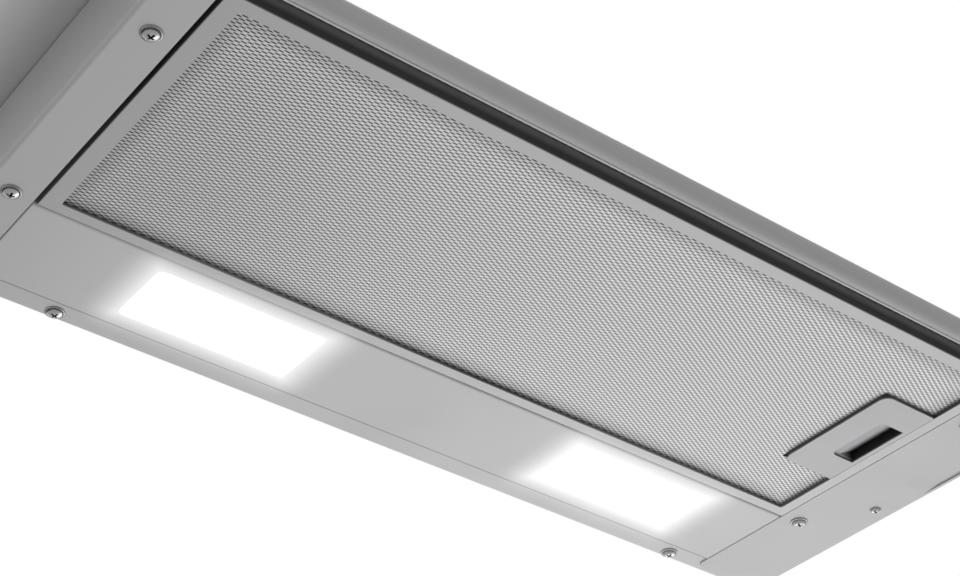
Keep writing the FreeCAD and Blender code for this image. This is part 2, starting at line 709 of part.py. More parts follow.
# The duct collar and its damper.
def duct_collar():
    piece = body("duct_collar")
    z0 = S.collar_base
    half_x, half_y = S.collar_width / 2, S.collar_depth / 2
    extrude(piece, "XY", 0, z0, rectangle(-half_x, -half_y, half_x, half_y, S.cover_corner))
    extrude(piece, "XY", 0, z0 + S.duct_length, disc(0, 0, S.duct_radius))
    bore = S.duct_radius - S.duct_wall
    extrude(piece, "XY", 0, z0 + S.duct_length, disc(0, 0, bore - S.duct_wall), cut=True)
    seat = z0 + S.damper_rise - S.knuckle_radius - S.damper_thick - S.play
    extrude(piece, "XY", seat, z0 + S.duct_length, disc(0, 0, bore), cut=True)
    extrude(piece, "YZ", -S.duct_radius, S.duct_radius, disc(0, z0 + S.damper_rise, S.damper_pin_radius), cut=True)
    extrude(piece, "XY", 0, z0, *[disc(x, y, S.screw_hole) for x, y in collar_places()], cut=True)
    place(piece, 0, y_duct, S.upper_height)


def collar_places():
    """Where screws hold the duct collar, from its axis."""
    x, y = S.collar_width / 2 - S.foot / 2, S.collar_depth / 2 - S.foot / 2
    return [(x * side, y * end) for side in (-1, 1) for end in (-1, 1)]


z_damper = S.upper_height + S.collar_base + S.damper_rise


def damper_pin():
    piece = body("damper_pin")
    half = S.duct_radius - S.duct_wall / 2
    extrude(piece, "YZ", -half, half, disc(0, 0, S.damper_pin_radius))
    place(piece, 0, y_duct, z_damper)


def damper_flap(label, side):
    """Half a disc that hangs under the pin by two knuckles, between those of the other flap."""
    piece = body(label)
    rim = S.duct_radius - S.duct_wall - S.play * 2
    z1 = -S.knuckle_radius
    z0 = z1 - S.damper_thick
    extrude(piece, "XY", z0, z1, disc(0, 0, rim))
    gap = S.damper_pin_radius * side
    far = (rim + 1) * -side
    extrude(piece, "XY", z0, z1, rectangle(-rim - 1, low(gap, far), rim + 1, high(gap, far)), cut=True)
    pitch = S.knuckle_length * 1.5
    step = S.knuckle_length / 2
    round_out = S.knuckle_radius - S.play
    for centre in (-pitch * 1.5, pitch * 0.5) if side > 0 else (-pitch * 0.5, pitch * 1.5):
        left, right = centre - step, centre + step
        extrude(piece, "YZ", left, right, disc(0, 0, round_out))
        extrude(piece, "YZ", left, right, outline(
            (gap, z1), (S.knuckle_radius * 1.6 * side, z1), (round_out * 0.8 * side, round_out * 0.6),
            (0, 0)))
    extrude(piece, "YZ", -rim, rim, disc(0, 0, S.damper_pin_radius + S.running), cut=True)
    place(piece, 0, y_duct, z_damper)


# The blower: a wheel with curved blades, turning in a scroll, with the motor inside it.
def scroll_outline(wall, bead=0):
    """The spiral and its mouth, about the blower's axis, grown by a wall and a bead."""
    grown = size(wall) + bead
    above, ahead = S.scroll_above + grown, S.scroll_ahead + grown
    below, behind = S.scroll_below + grown, S.scroll_behind + wall
    centre_z = S.scroll_above - S.scroll_ahead
    turn_below = below + centre_z
    centre_y = turn_below - ahead
    mouth_z = S.upper_height - S.upper_sheet - S.seam - z_blower
    slant = grown * 1.8
    tongue = S.scroll_tongue - slant
    lower_tip = () if grown.value else ((S.scroll_tongue, above + S.scroll_wall),)
    return outline((tongue, above), (-ahead, above, ahead), (-ahead, -below, turn_below),
                   (behind, -below, behind - centre_y), (behind, mouth_z),
                   (-S.scroll_flare - size(wall) * 1.8, mouth_z), *lower_tip)


def scroll(label, side):
    """One half of the scroll, split at the middle of the wheel, with its inlet and screwed flange."""
    piece = body(label)
    outer = S.wheel_length / 2 + S.scroll_gap + S.scroll_wall
    cheek = S.wheel_length / 2 + S.scroll_gap
    lip = S.wheel_length / 2 + S.play * 2
    wall = S.scroll_wall

    def across(start, end, *shapes, cut=False):
        first, second = size(start) * side, size(end) * side
        extrude(piece, "YZ", low(first, second), high(first, second), *shapes, cut=cut)

    across(0, outer, scroll_outline(wall))
    across(0, wall, scroll_outline(wall, S.scroll_bead))
    mouth_z = S.upper_height - S.upper_sheet - S.seam - z_blower
    toe = S.collar_width / 2
    front = -S.scroll_flare - wall * 1.8
    first, second = (outer - wall) * side, toe * side
    extrude(piece, "XY", mouth_z - wall, mouth_z, rectangle(
        low(first, second), front, high(first, second), S.scroll_behind + wall))
    holes = [disc(x, y + y_duct - y_blower, S.screw_hole) for x, y in collar_places() if x.value * side > 0]
    extrude(piece, "XY", mouth_z - wall, mouth_z, *holes, cut=True)
    across(0, cheek, scroll_outline(0), cut=True)
    across(lip, outer - wall / 2, disc(0, 0, S.inlet_radius + wall))
    across(lip, outer, disc(0, 0, S.inlet_radius), cut=True)
    fillet(piece, wall * 0.7, lambda box: box.XLength < 0.01 and abs(box.XMin * side - outer.value) < 0.01
           and abs(box.YLength - box.ZLength) < 0.01)
    place(piece, 0, y_blower, z_blower)


def blower_wheel():
    """A double-width wheel: two end rings, a centre disc with its hub, and the curved blades."""
    piece = body("blower_wheel")
    half, disc_half = S.wheel_length / 2, S.wheel_disc / 2
    extrude(piece, "YZ", -disc_half, disc_half, disc(0, 0, S.wheel_radius))
    extrude(piece, "YZ", -S.hub_length / 2, S.hub_length / 2, disc(0, 0, S.hub_radius))
    extrude(piece, "YZ", -S.hub_length / 2, S.hub_length / 2, disc(0, 0, S.shaft_radius + S.running),
            cut=True)
    for start in (-half, half - S.wheel_disc):
        extrude(piece, "YZ", start, start + S.wheel_disc, disc(0, 0, S.wheel_radius),
                disc(0, 0, S.wheel_inner))
    middle = (S.wheel_radius + S.wheel_inner) / 2
    drop = S.blade_curve * 0.755
    inside, outside = S.blade_curve - S.blade_thick / 2, S.blade_curve + S.blade_thick / 2
    centre = (middle, -drop)
    shape = outline(
        (middle - inside * 0.6, inside * 0.8 - drop, (*centre, inside)),
        (middle + inside * 0.6, inside * 0.8 - drop),
        (middle + outside * 0.6, outside * 0.8 - drop, (*centre, outside)),
        (middle - outside * 0.6, outside * 0.8 - drop))
    blade = extrude(piece, "YZ", -half, half, shape)
    pattern = piece.newObject("PartDesign::PolarPattern", "blades")
    pattern.Originals = [blade]
    pattern.Axis = (blade.Profile[0], ["N_Axis"])
    pattern.Angle = 360
    settle(piece, pattern)
    bind(pattern, "Occurrences", S.blade_count)
    settle(piece, pattern)
    place(piece, 0, y_blower, z_blower)


def motor():
    piece = body("motor")
    start, end = S.motor_start, S.motor_start + S.motor_length
    extrude(piece, "YZ", start, end, disc(0, 0, S.motor_radius))
    fillet(piece, S.motor_flange, lambda box: box.XLength < 0.01)
    seat = S.wheel_length / 2 + S.scroll_gap + S.scroll_wall + S.bracket * 2
    extrude(piece, "YZ", seat, seat + S.bracket * 2, disc(0, 0, S.motor_radius + S.motor_flange))
    extrude(piece, "YZ", start, end, disc(0, 0, S.shaft_radius + S.running), cut=True)
    place(piece, 0, y_blower, z_blower)


def motor_shaft():
    """The shaft, with the shoulder that the wheel's hub is pushed against."""
    piece = body("motor_shaft")
    hub = S.hub_length / 2
    extrude(piece, "YZ", -hub - S.motor_flange, S.motor_start + S.motor_length + S.motor_flange * 2,
            disc(0, 0, S.shaft_radius))
    extrude(piece, "YZ", hub, hub + S.motor_flange / 2, disc(0, 0, S.shaft_radius * 1.5))
    place(piece, 0, y_blower, z_blower)


def motor_bracket():
    """A ring and three arms that hang the motor in the right inlet of the scroll."""
    piece = body("motor_bracket")
    seat = S.wheel_length / 2 + S.scroll_gap + S.scroll_wall
    end = seat + S.bracket * 2
    ring = S.motor_radius + S.motor_flange + S.bracket
    extrude(piece, "YZ", seat, end, disc(0, 0, ring))
    arm = extrude(piece, "YZ", seat, end, rectangle(-S.arm_width / 2, 0, S.arm_width / 2, S.arm_reach,
                                                    S.bend * 2))
    pattern = piece.newObject("PartDesign::PolarPattern", "arms")
    pattern.Originals = [arm]
    pattern.Axis = (arm.Profile[0], ["N_Axis"])
    pattern.Angle = 360
    settle(piece, pattern)
    pattern.Occurrences = 3
    settle(piece, pattern)
    extrude(piece, "YZ", seat, end, disc(0, 0, S.motor_radius + S.play), cut=True)
    place(piece, 0, y_blower, z_blower)


# Electrics.
def capacitor():
    piece = body("capacitor")
    extrude(piece, "XY", 0, S.capacitor_height, disc(0, 0, S.capacitor_radius))
    fillet(piece, S.bend, level_with(S.capacitor_height))
    step = S.capacitor_radius * 0.4
    for side in (-1, 1):
        extrude(piece, "XY", S.capacitor_height, S.capacitor_height + S.capacitor_radius / 2,
                rectangle(step * side - S.bend, -S.bend / 4, step * side + S.bend, S.bend / 4))
    place(piece, S.upper_width / 2 - S.capacitor_radius * 2.4, y_duct, 0)


def terminal_box():
    """A box with an overlapping lid, on the shelf of the top plate under the cable gland."""
    piece = body("terminal_box")
    x, y, rim = S.box_width / 2, S.box_depth / 2, S.sheet * 1.5
    extrude(piece, "XY", 0, S.box_height * 0.7, rectangle(-x, -y, x, y, S.bend * 2))
    extrude(piece, "XY", S.box_height * 0.7, S.box_height,
            rectangle(-x - rim, -y - rim, x + rim, y + rim, S.bend * 3))
    fillet(piece, S.bend, level_with(S.box_height))
    extrude(piece, "YZ", -x, -x + S.box_width * 0.1, disc(0, S.box_height * 0.4, S.gland_bore), cut=True)
    place(piece, x_gland - S.box_width * 0.22, y_duct, 0)


def cable_gland():
    """The gland in the top of the upper housing, where the mains cable enters."""
    piece = body("cable_gland")
    thread, sheet = S.gland_radius - S.seam / 2, S.upper_sheet
    nut = S.gland_radius * 1.4
    extrude(piece, "XY", -S.gland_radius * 1.5, S.gland_radius, disc(0, 0, thread))
    neck, top = thread * 1.1, S.gland_radius * 2
    revolve(piece, ((0, 0), (nut, 0), (nut, S.gland_radius * 0.6), (neck, S.gland_radius * 0.8),
                    (neck, S.gland_radius * 1.5), (thread * 0.7, top), (0, top)))
    revolve(piece, ((0, -sheet), (0, -sheet - S.gland_radius * 0.5), (nut, -sheet - S.gland_radius * 0.5),
                    (nut, -sheet)))
    extrude(piece, "XY", -S.gland_radius * 1.5, top, disc(0, 0, S.gland_bore), cut=True)
    place(piece, x_gland, y_duct, S.upper_height)


def led_driver():
    piece = body("led_driver")
    x = x_cover_left + S.seam + S.lap + S.driver_length / 2
    half_x, half_y = S.driver_length / 2, S.driver_width / 2
    extrude(piece, "XY", z_fascia, z_fascia + S.lamp_case,
            rectangle(x - half_x, y_lamp - half_y, x + half_x, y_lamp + half_y, S.bend * 2))
    fillet(piece, S.bend, level_with(z_fascia + S.lamp_case))


# The slides and the visor they carry.
def rail_x(side, depth):
    """A place across a slide, measured from its seat towards the middle of the hood."""
    return x_rail_left + depth if side < 0 else x_rail_right - depth


def rail_member(label, side, inset, web, flange, length):
    """A channel-shaped slide member; its web and flange ends are given from the slide's seat."""
    piece = body(label)
    back = rail_x(side, web)
    open_end = rail_x(side, flange)
    step = S.rail_sheet if open_end.value > back.value else -S.rail_sheet
    top, under = z_rail_top - inset, z_rail_under + inset
    inner, round_out = S.rail_sheet / 2, S.rail_sheet * 1.5
    y0 = y_front + S.rail_setback
    extrude(piece, "XZ", y0, y0 + length, outline(
        (open_end, under), (back, under, round_out), (back, top, round_out), (open_end, top),
        (open_end, top - S.rail_sheet), (back + step, top - S.rail_sheet, inner),
        (back + step, under + S.rail_sheet, inner), (open_end, under + S.rail_sheet)))


def rail(name, side):
    """The three nested members of one telescopic slide."""
    step = S.rail_sheet + S.rail_play
    far = S.rail_width - step
    rail_member("rail_outer_" + name, side, size(0), size(0), far, S.rail_length)
    rail_member("rail_middle_" + name, side, step, step, far, S.rail_inner)
    rail_member("rail_inner_" + name, side, step * 2, S.rail_width, step * 2, S.rail_inner)


def rail_bracket(label, side, width, x_screw):
    """An angle that carries a slide and is held by the cover screws."""
    piece = body(label)
    back = rail_x(side, -S.bracket)
    face = rail_x(side, 0)
    toe = back + width if side < 0 else back - width
    z0 = z_fascia
    extrude(piece, "XZ", y_front + S.rail_setback * 4, y_front + S.rail_setback + S.rail_length, outline(
        (toe, z0), (back, z0, S.bend + S.bracket), (back, z_rail_top), (face, z_rail_top),
        (face, z0 + S.bracket, S.bend), (toe, z0 + S.bracket)))
    cover_holes(piece, x_screw, z0, z0 + S.bracket)


def visor_front(z):
    """Where the outside of the visor's sloped front is, at a height."""
    return y_front + S.visor_slope * (size(z) - z_visor_under) / (z_visor_top - z_visor_under)


def visor_frame():
    """The folded tray that slides out: open below, with lips that hold its mesh, and a sloped front."""
    piece = body("visor_frame")
    x0, x1, y0 = x_visor_left, x_visor_right, y_front
    y1, sheet, lip = y0 + S.visor_depth, S.visor_sheet, S.visor_lip
    extrude(piece, "YZ", x0, x1, outline((y0, z_visor_under), (y1, z_visor_under), (y1, z_visor_top),
                                         (visor_front(z_visor_top), z_visor_top)))
    fillet(piece, S.bend, level_with(z_visor_top))
    floor, roof = z_visor_under + sheet, z_visor_top - sheet
    extrude(piece, "YZ", x0 + sheet, x1 - sheet, outline(
        (visor_front(floor) + sheet * 1.3, floor), (y1 - sheet, floor), (y1 - sheet, roof),
        (visor_front(roof) + sheet * 1.3, roof)), cut=True)
    extrude(piece, "XY", z_visor_under, floor, rectangle(x0 + lip, y0 + lip, x1 - lip, y1 - lip, S.bend),
            cut=True)
    extrude(piece, "XZ", y0, y0 + sheet, rectangle(x0, z_visor_under - S.visor_flange, x1, floor))


def visor_mesh():
    piece = body("visor_mesh")
    gap = S.visor_sheet + S.seam
    z0 = z_visor_under + S.visor_sheet
    z1 = z0 + S.sheet
    extrude(piece, "XY", z0, z1, rectangle(
        x_visor_left + gap, visor_front(z1) + gap * 1.3, x_visor_right - gap,
        y_front + S.visor_depth - gap))


y_bar = y_front - S.bar_lip
z_bar = z_under + S.bar_radius


def half_round(y0, radius):
    """The arcs of a half-round bar that faces forwards, from below to above."""
    arc = (y0, z_bar, radius)
    return (y0, z_bar - radius, arc), (y0 - radius, z_bar, arc), (y0, z_bar + radius)


def front_bar():
    """The hollow half-round grip bar, with a thin lip along its rear lower edge."""
    piece = body("front_bar")
    half = x_side - S.cap_thick
    z1, z0 = z_bar + S.bar_radius, z_under - S.bar_edge
    extrude(piece, "YZ", -half, half, outline(
        *half_round(y_bar, S.bar_radius), (y_front, z1), (y_front, z0), (y_bar, z0)))
    extrude(piece, "YZ", -half, half, outline(*half_round(y_bar, S.bar_radius - S.bar_wall)), cut=True)


def bar_cap(label, side):
    """An end cap, with a plug that fits inside the bar."""
    piece = body(label)
    first, second = (x_side - S.cap_thick) * side, x_side * side
    extrude(piece, "YZ", low(first, second), high(first, second), outline(
        *half_round(y_bar, S.bar_radius), (y_front, z_bar + S.bar_radius), (y_front, z_under)))
    fillet(piece, S.sheet, lambda box: box.XLength < 0.01 and abs(box.XMin - second.value) < 0.01)
    inner = (x_side - S.cap_thick - S.cap_plug) * side
    extrude(piece, "YZ", low(first, inner), high(first, inner),
            outline(*half_round(y_bar - S.play, S.bar_radius - S.bar_wall - S.play * 2)))


# The grease filter, which hangs on two pins and is held up by its latch.
def nose_window(piece, x0, x1):
    """A window for the latch nose."""
    half = S.nose_width / 2 + S.play
    z0 = z_pocket + S.play / 2
    extrude(piece, "YZ", x0, x1, rectangle(y_latch - half, z0 - S.play, y_latch + half,
                                           z0 + S.nose_thick + S.play), cut=True)


def filter_frame():
    """A folded ring: outer wall, flat rim below, and an inner wall that carries the mesh."""
    piece = body("filter_frame")
    sheet, top = S.filter_sheet, z_under + S.filter_height
    x0, x1, y0, y1 = x_filter_left, x_filter_right, y_filter_front, y_filter_back
    tray = rectangle(x0 + sheet, y0 + sheet, x1 - sheet, y1 - sheet)
    wall = rectangle(x_mesh_left - sheet, y_mesh_front - sheet, x_mesh_right + sheet, y_mesh_back + sheet,
                     S.bend + sheet)
    mouth = rectangle(x_mesh_left, y_mesh_front, x_mesh_right, y_mesh_back, S.bend)
    extrude(piece, "XY", z_under, top, rectangle(x0, y0, x1, y1))
    fillet(piece, sheet / 2, level_with(z_under))
    extrude(piece, "XY", z_mesh, top, tray, cut=True)
    extrude(piece, "XY", z_under + sheet, z_mesh, tray, wall, cut=True)
    extrude(piece, "XY", z_under, z_mesh, mouth, cut=True)
    hole = disc(x_pivot, z_pivot, S.pivot_radius + S.running)
    for start in (y0, y1 - sheet):
        extrude(piece, "XZ", start, start + sheet, hole, cut=True)
    nose_window(piece, x_mesh_right, x1)


def mesh_sheet(label, z0, z1):
    """A sheet of mesh between the walls of the frame, notched for the latch and clear of the pins."""
    piece = body(label)
    gap = S.filter_sheet + S.seam
    pins = gap + S.sheet
    extrude(piece, "XY", z0, z1, rectangle(x_filter_left + gap, y_filter_front + pins, x_filter_right - gap,
                                           y_filter_back - pins))
    half = S.latch_length / 2 + S.seam
    extrude(piece, "XY", z0, z1, rectangle(x_latch_left - S.seam, y_latch - half, x_filter_right,
                                           y_latch + half), cut=True)


def filter_mesh():
    mesh_sheet("filter_mesh", z_mesh, z_mesh + S.mesh_thick)


def filter_backing():
    mesh_sheet("filter_backing", z_mesh + S.mesh_thick, z_shelf)


def filter_pins():
    """The two riveted pins that the filter hangs and swings on."""
    piece = body("filter_pins")
    y0, y1, sheet = y_filter_front, y_filter_back, S.filter_sheet
    head = S.pivot_radius * 1.7
    extrude(piece, "XZ", y0 - S.pivot_reach - S.play * 2, y0 + sheet + S.sheet,
            disc(x_pivot, z_pivot, S.pivot_radius))
    extrude(piece, "XZ", y0 + sheet, y0 + sheet + S.sheet, disc(x_pivot, z_pivot, head))
    extrude(piece, "XZ", y1 - sheet - S.sheet, y1 + S.pivot_reach, disc(x_pivot, z_pivot, S.pivot_radius))
    extrude(piece, "XZ", y1 - sheet - S.sheet, y1 - sheet, disc(x_pivot, z_pivot, head))


def pivot_lug():
    """The bracket on the left cover that takes the filter's front pin."""
    piece = body("pivot_lug")
    y0 = y_filter_front - S.pivot_reach - S.play / 2
    x0 = x_rail_left - S.bracket + S.bracket_left + S.sheet
    x1 = x_pivot + S.lap
    z0, sheet = z_fascia, S.bracket
    extrude(piece, "XZ", y0, y0 + sheet, rectangle(x0, z0, x1, z0 + S.lug_height))
    extrude(piece, "XZ", y0, y0 + sheet, disc(x_pivot, z_pivot, S.pivot_radius + S.running), cut=True)
    extrude(piece, "XY", z0, z0 + sheet, rectangle(x0, y0, x_cover_left - S.sheet, y0 + S.foot))


def latch_housing():
    """A shallow box let into the mesh beside the right rim, with a flange and a finger opening."""
    piece = body("latch_housing")
    wall = S.latch_wall
    extrude(piece, "XY", z_under, z_latch, latch_outline(0))
    half = S.latch_length / 2 + wall * 2
    extrude(piece, "XY", z_shelf, z_shelf + S.filter_sheet, rectangle(
        x_latch_left - wall * 2, y_latch - half, x_latch_right, y_latch + half, S.bend))
    extrude(piece, "XY", z_pocket, z_latch, latch_outline(wall), cut=True)
    x1 = x_latch_right - S.grip_edge
    x0 = x1 - S.grip_width
    y0, y1 = y_latch - S.grip_length / 2, y_latch + S.grip_length / 2
    extrude(piece, "XY", z_under, z_pocket,
            outline((x0, y0, S.lap), (x1, y0), (x1, y1), (x0, y1, S.lap)), cut=True)
    nose_window(piece, x_latch_right - wall, x_latch_right)


def latch_cover():
    piece = body("latch_cover")
    extrude(piece, "XY", z_latch, z_latch + S.filter_sheet, latch_outline(0))


def latch_outline(inset):
    inset = size(inset)
    half = S.latch_length / 2 - inset
    x0, x1 = x_latch_left + inset, x_latch_right - inset
    corner = S.latch_corner - inset
    return outline((x0, y_latch - half, corner), (x1, y_latch - half), (x1, y_latch + half),
                   (x0, y_latch + half, corner))


def latch_slider():
    """The latch slide: a finger scoop with a sloping floor, a bevelled nose and a spring pocket."""
    piece = body("latch_slider")
    x0, x1 = x_slide, x_latch_right - S.latch_wall * 2
    half = S.grip_length / 2 + S.latch_wall * 2
    z0, z1 = z_pocket + S.play / 2, z_latch - S.play * 2
    extrude(piece, "XY", z0, z1, rectangle(x0, y_latch - half, x1, y_latch + half, S.bend))
    deep = S.grip_length / 2 - S.latch_wall
    x_wall = x_latch_right - S.grip_edge - S.play
    extrude(piece, "XZ", y_latch - deep, y_latch + deep, outline(
        (x_wall - S.scoop_width, z0), (x_wall, z0), (x_wall, z1 - S.sheet)), cut=True)
    tip = x_filter_right + S.nose_reach
    bevel = S.nose_thick - S.sheet
    extrude(piece, "XZ", y_latch - S.nose_width / 2, y_latch + S.nose_width / 2, outline(
        (x1 - S.sheet, z0), (tip, z0), (tip, z0 + S.sheet), (tip - bevel, z0 + S.nose_thick),
        (x1 - S.sheet, z0 + S.nose_thick)))
    extrude(piece, "YZ", x0, x_spring_end, disc(y_latch, z_spring, S.spring_radius + S.play), cut=True)


def latch_spring():
    """The coil that pushes the latch slide to the right."""
    piece = body("latch_spring")
    x0 = x_latch_left + S.latch_wall
    wire, middle = S.spring_wire, S.spring_radius - S.spring_wire
    sketch = new_sketch(piece, "XZ", 0)
    draw(sketch, outline((0, middle), (wire / 2, middle - wire * 0.866), (wire * 1.5, middle - wire * 0.866),
                         (wire * 2, middle), (wire * 1.5, middle + wire * 0.866),
                         (wire / 2, middle + wire * 0.866)))
    coil = piece.newObject("PartDesign::AdditiveHelix", "coil")
    coil.Profile = sketch
    coil.ReferenceAxis = (sketch, ["H_Axis"])
    coil.Mode = "height-turns-growth"
    coil.Turns = 6
    bind(coil, "Height", x_spring_end - x0 - wire * 2)
    settle(piece, coil)
    place(piece, x0, y_latch, z_spring)


# The controls.
def knob_y(back):
    return y_back - back


KNOBS = ((S.light_knob_back, S.light_travel), (S.speed_knob_back, S.speed_travel))
x_knob = S.control_left + S.control_width / 2
x_fascia_right = x_side - S.sheet - S.bend - S.seam
x_fascia_left = S.control_left - S.lap


def control_fascia():
    """The recessed plate behind the window in the right cover, with a slot for each knob."""
    piece = body("control_fascia")
    extrude(piece, "XY", z_fascia, z_fascia + S.bracket, rectangle(
        x_fascia_left, y_control_front - S.lap, x_fascia_right, y_fascia_screw + S.foot / 2, S.bend))
    slot = S.knob_width / 4 + S.play
    half = S.knob_length / 2
    shapes = [rectangle(x_knob - slot, knob_y(back) - half - travel - S.play, x_knob + slot,
                        knob_y(back) + half + S.play) for back, travel in KNOBS]
    extrude(piece, "XY", z_fascia, z_fascia + S.bracket, *shapes,
            disc(x_fascia_screw, y_fascia_screw, S.screw_hole), cut=True)


def knob(label, back):
    """A slide switch knob: a ridged grip below the fascia, a stem, and a plate above it."""
    piece = body(label)
    y, half = knob_y(back), S.knob_length / 2
    wide, stem = S.knob_width / 2, S.knob_width / 4
    z_grip, z_plate_top = z_fascia - S.knob_height, z_fascia + S.bracket + S.play + S.sheet
    extrude(piece, "XY", z_grip, z_fascia - S.play,
            rectangle(x_knob - wide, y - half, x_knob + wide, y + half, S.sheet))
    fillet(piece, S.sheet / 2, level_with(z_grip))
    extrude(piece, "XY", z_fascia - S.play, z_plate_top,
            rectangle(x_knob - stem, y - half, x_knob + stem, y + half))
    extrude(piece, "XY", z_plate_top - S.sheet, z_plate_top,
            rectangle(x_knob - wide, y - half, x_knob + wide, y + half))
    ridges = [rectangle(x_knob - wide, y + S.knob_length * step / 4 - S.play, x_knob + wide,
                        y + S.knob_length * step / 4 + S.play) for step in (-1, 0, 1)]
    extrude(piece, "XY", z_grip, z_grip + S.play, *ridges, cut=True)


def switch_block():
    """The housing of both slide switches, on the back of the fascia."""
    piece = body("switch_block")
    z0 = z_fascia + S.bracket
    y0 = knob_y(S.speed_knob_back) - S.speed_travel - S.knob_length
    y1 = knob_y(S.light_knob_back) + S.knob_length
    half = S.control_width / 2
    extrude(piece, "XY", z0, z0 + S.lamp_case, rectangle(x_knob - half, y0, x_knob + half, y1, S.bend))
    fillet(piece, S.bend, level_with(z0 + S.lamp_case))
    wide = S.knob_width / 2 + S.play
    reach = S.knob_length / 2 + S.play
    shapes = [rectangle(x_knob - wide, knob_y(back) - reach - travel, x_knob + wide, knob_y(back) + reach)
              for back, travel in KNOBS]
    extrude(piece, "XY", z0, z0 + S.play * 2 + S.sheet, *shapes, cut=True)


# The screws.
def screws(label, places, z, up, radius, collar=None, length=None):
    """Domed screws, all alike, standing on a face at one height; up is 1 or -1."""
    piece = body(label)
    length = length or S.screw_length
    z = size(z)
    base = z + S.screw_collar * up if collar else z
    top = base + S.screw_rise * up
    if collar:
        extrude(piece, "XY", low(z, base), high(z, base), *[disc(x, y, collar) for x, y in places])
    extrude(piece, "XY", low(base, top), high(base, top), *[disc(x, y, radius) for x, y in places])
    chamfer(piece, S.screw_rise * 0.7, level_with(top))
    cross = S.screw_shank / 4
    arm = radius * 0.55
    for wide, deep in ((arm, cross), (cross, arm)):
        slots = [rectangle(x - wide, y - deep, x + wide, y + deep) for x, y in places]
        inner = top - S.screw_rise * 0.6 * up
        extrude(piece, "XY", low(inner, top), high(inner, top), *slots, cut=True)
    end = z - length * up
    extrude(piece, "XY", low(end, z), high(end, z), *[disc(x, y, S.screw_shank) for x, y in places])


def all_screws():
    covers = [(x, y) for x in (x_screw_left, x_screw_right) for y in (y_screw, y_screw - S.screw_pitch)]
    strips = [(S.strip_screw_x * side, y_strip_screw) for side in (-1, 1)]
    collars = [(x, y_duct + y) for x, y in collar_places()]
    screws("cover_screws", covers, z_under, -1, S.screw_head, S.screw_washer)
    screws("strip_screws", strips, z_fascia, -1, S.screw_head, S.screw_washer)
    screws("fascia_screw", [(x_fascia_screw, y_fascia_screw)], z_under, -1, S.screw_head * 0.7, None,
           S.screw_length / 2)
    screws("housing_screws", foot_places(), S.upper_sheet, 1, S.screw_head, None, S.screw_length / 2)
    screws("collar_screws", collars, S.upper_height + S.collar_base, 1, S.screw_head, None, S.screw_length)


# Every sub-part, then the files.
def check_and_write():
    doc.recompute()
    for item in doc.Objects:
        if {"Invalid", "Error"} & set(item.State):
            raise RuntimeError("%s did not compute" % item.Label)
    os.makedirs("parts", exist_ok=True)
    for piece in PIECES:
        shape = piece.Shape
        if shape.isNull() or not shape.isValid() or not shape.Solids:
            raise RuntimeError("%s has no valid shape" % piece.Label)
        shape.exportStep("parts/%s.step" % piece.Label)


top_plate()
left_side_channel()
right_side_channel()
rear_channel()
light_panel()
lamp("left", -1)
lamp("right", 1)
upper_top()
upper_rear()
upper_front()
upper_cheek("upper_cheek_left", -1)
upper_cheek("upper_cheek_right", 1)
duct_collar()
damper_pin()
damper_flap("damper_flap_front", -1)
damper_flap("damper_flap_rear", 1)
scroll("scroll_left", -1)
scroll("scroll_right", 1)
blower_wheel()
motor()
motor_shaft()
motor_bracket()
capacitor()
terminal_box()
cable_gland()
led_driver()
rail("left", -1)
rail("right", 1)
rail_bracket("rail_bracket_left", -1, S.bracket_left, x_screw_left)
rail_bracket("rail_bracket_right", 1, S.bracket_right, x_screw_right)
visor_frame()
visor_mesh()
front_bar()
bar_cap("bar_cap_left", -1)
bar_cap("bar_cap_right", 1)
filter_frame()
filter_mesh()
filter_backing()
filter_pins()
pivot_lug()
latch_housing()
latch_cover()
latch_slider()
latch_spring()
control_fascia()
knob("light_knob", S.light_knob_back)
knob("speed_knob", S.speed_knob_back)
switch_block()
all_screws()
check_and_write()
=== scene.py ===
"""Looks for the slide-out range hood: finishes for every part of it, fine fittings, and the stage."""

import math

import bmesh
import bpy
from bpy.props import FloatProperty, FloatVectorProperty, PointerProperty
from mathutils import Matrix, Vector


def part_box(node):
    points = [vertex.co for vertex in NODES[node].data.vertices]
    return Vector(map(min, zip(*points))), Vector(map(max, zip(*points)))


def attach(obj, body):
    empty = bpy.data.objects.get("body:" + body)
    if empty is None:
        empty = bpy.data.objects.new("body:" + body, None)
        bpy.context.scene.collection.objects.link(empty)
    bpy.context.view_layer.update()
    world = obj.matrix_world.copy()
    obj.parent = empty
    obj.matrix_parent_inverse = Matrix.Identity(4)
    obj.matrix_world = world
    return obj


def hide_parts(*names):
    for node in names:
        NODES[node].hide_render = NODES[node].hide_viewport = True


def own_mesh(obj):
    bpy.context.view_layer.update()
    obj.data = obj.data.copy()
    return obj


bl_info = {
    "name": "Range Hood Finishes",
    "version": (1, 0, 0),
    "blender": (4, 5, 0),
    "location": "View3D > Sidebar > Hood",
    "description": "Dresses a slide-out under cabinet range hood and sets it on a plain stage",
    "category": "Object",
}

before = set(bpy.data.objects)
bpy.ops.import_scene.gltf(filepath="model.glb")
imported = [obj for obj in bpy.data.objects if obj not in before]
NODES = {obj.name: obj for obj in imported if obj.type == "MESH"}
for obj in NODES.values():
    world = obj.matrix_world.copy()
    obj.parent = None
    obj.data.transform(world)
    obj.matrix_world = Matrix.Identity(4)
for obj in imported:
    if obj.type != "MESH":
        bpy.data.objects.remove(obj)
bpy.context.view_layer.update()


def colour(name, text, default):
    return FloatVectorProperty(name=name, description=text, default=default, subtype="COLOR", size=3,
                               min=0.0, max=1.0)


def metres(name, text, default):
    return FloatProperty(name=name, description=text, default=default, unit="LENGTH", min=0.0)


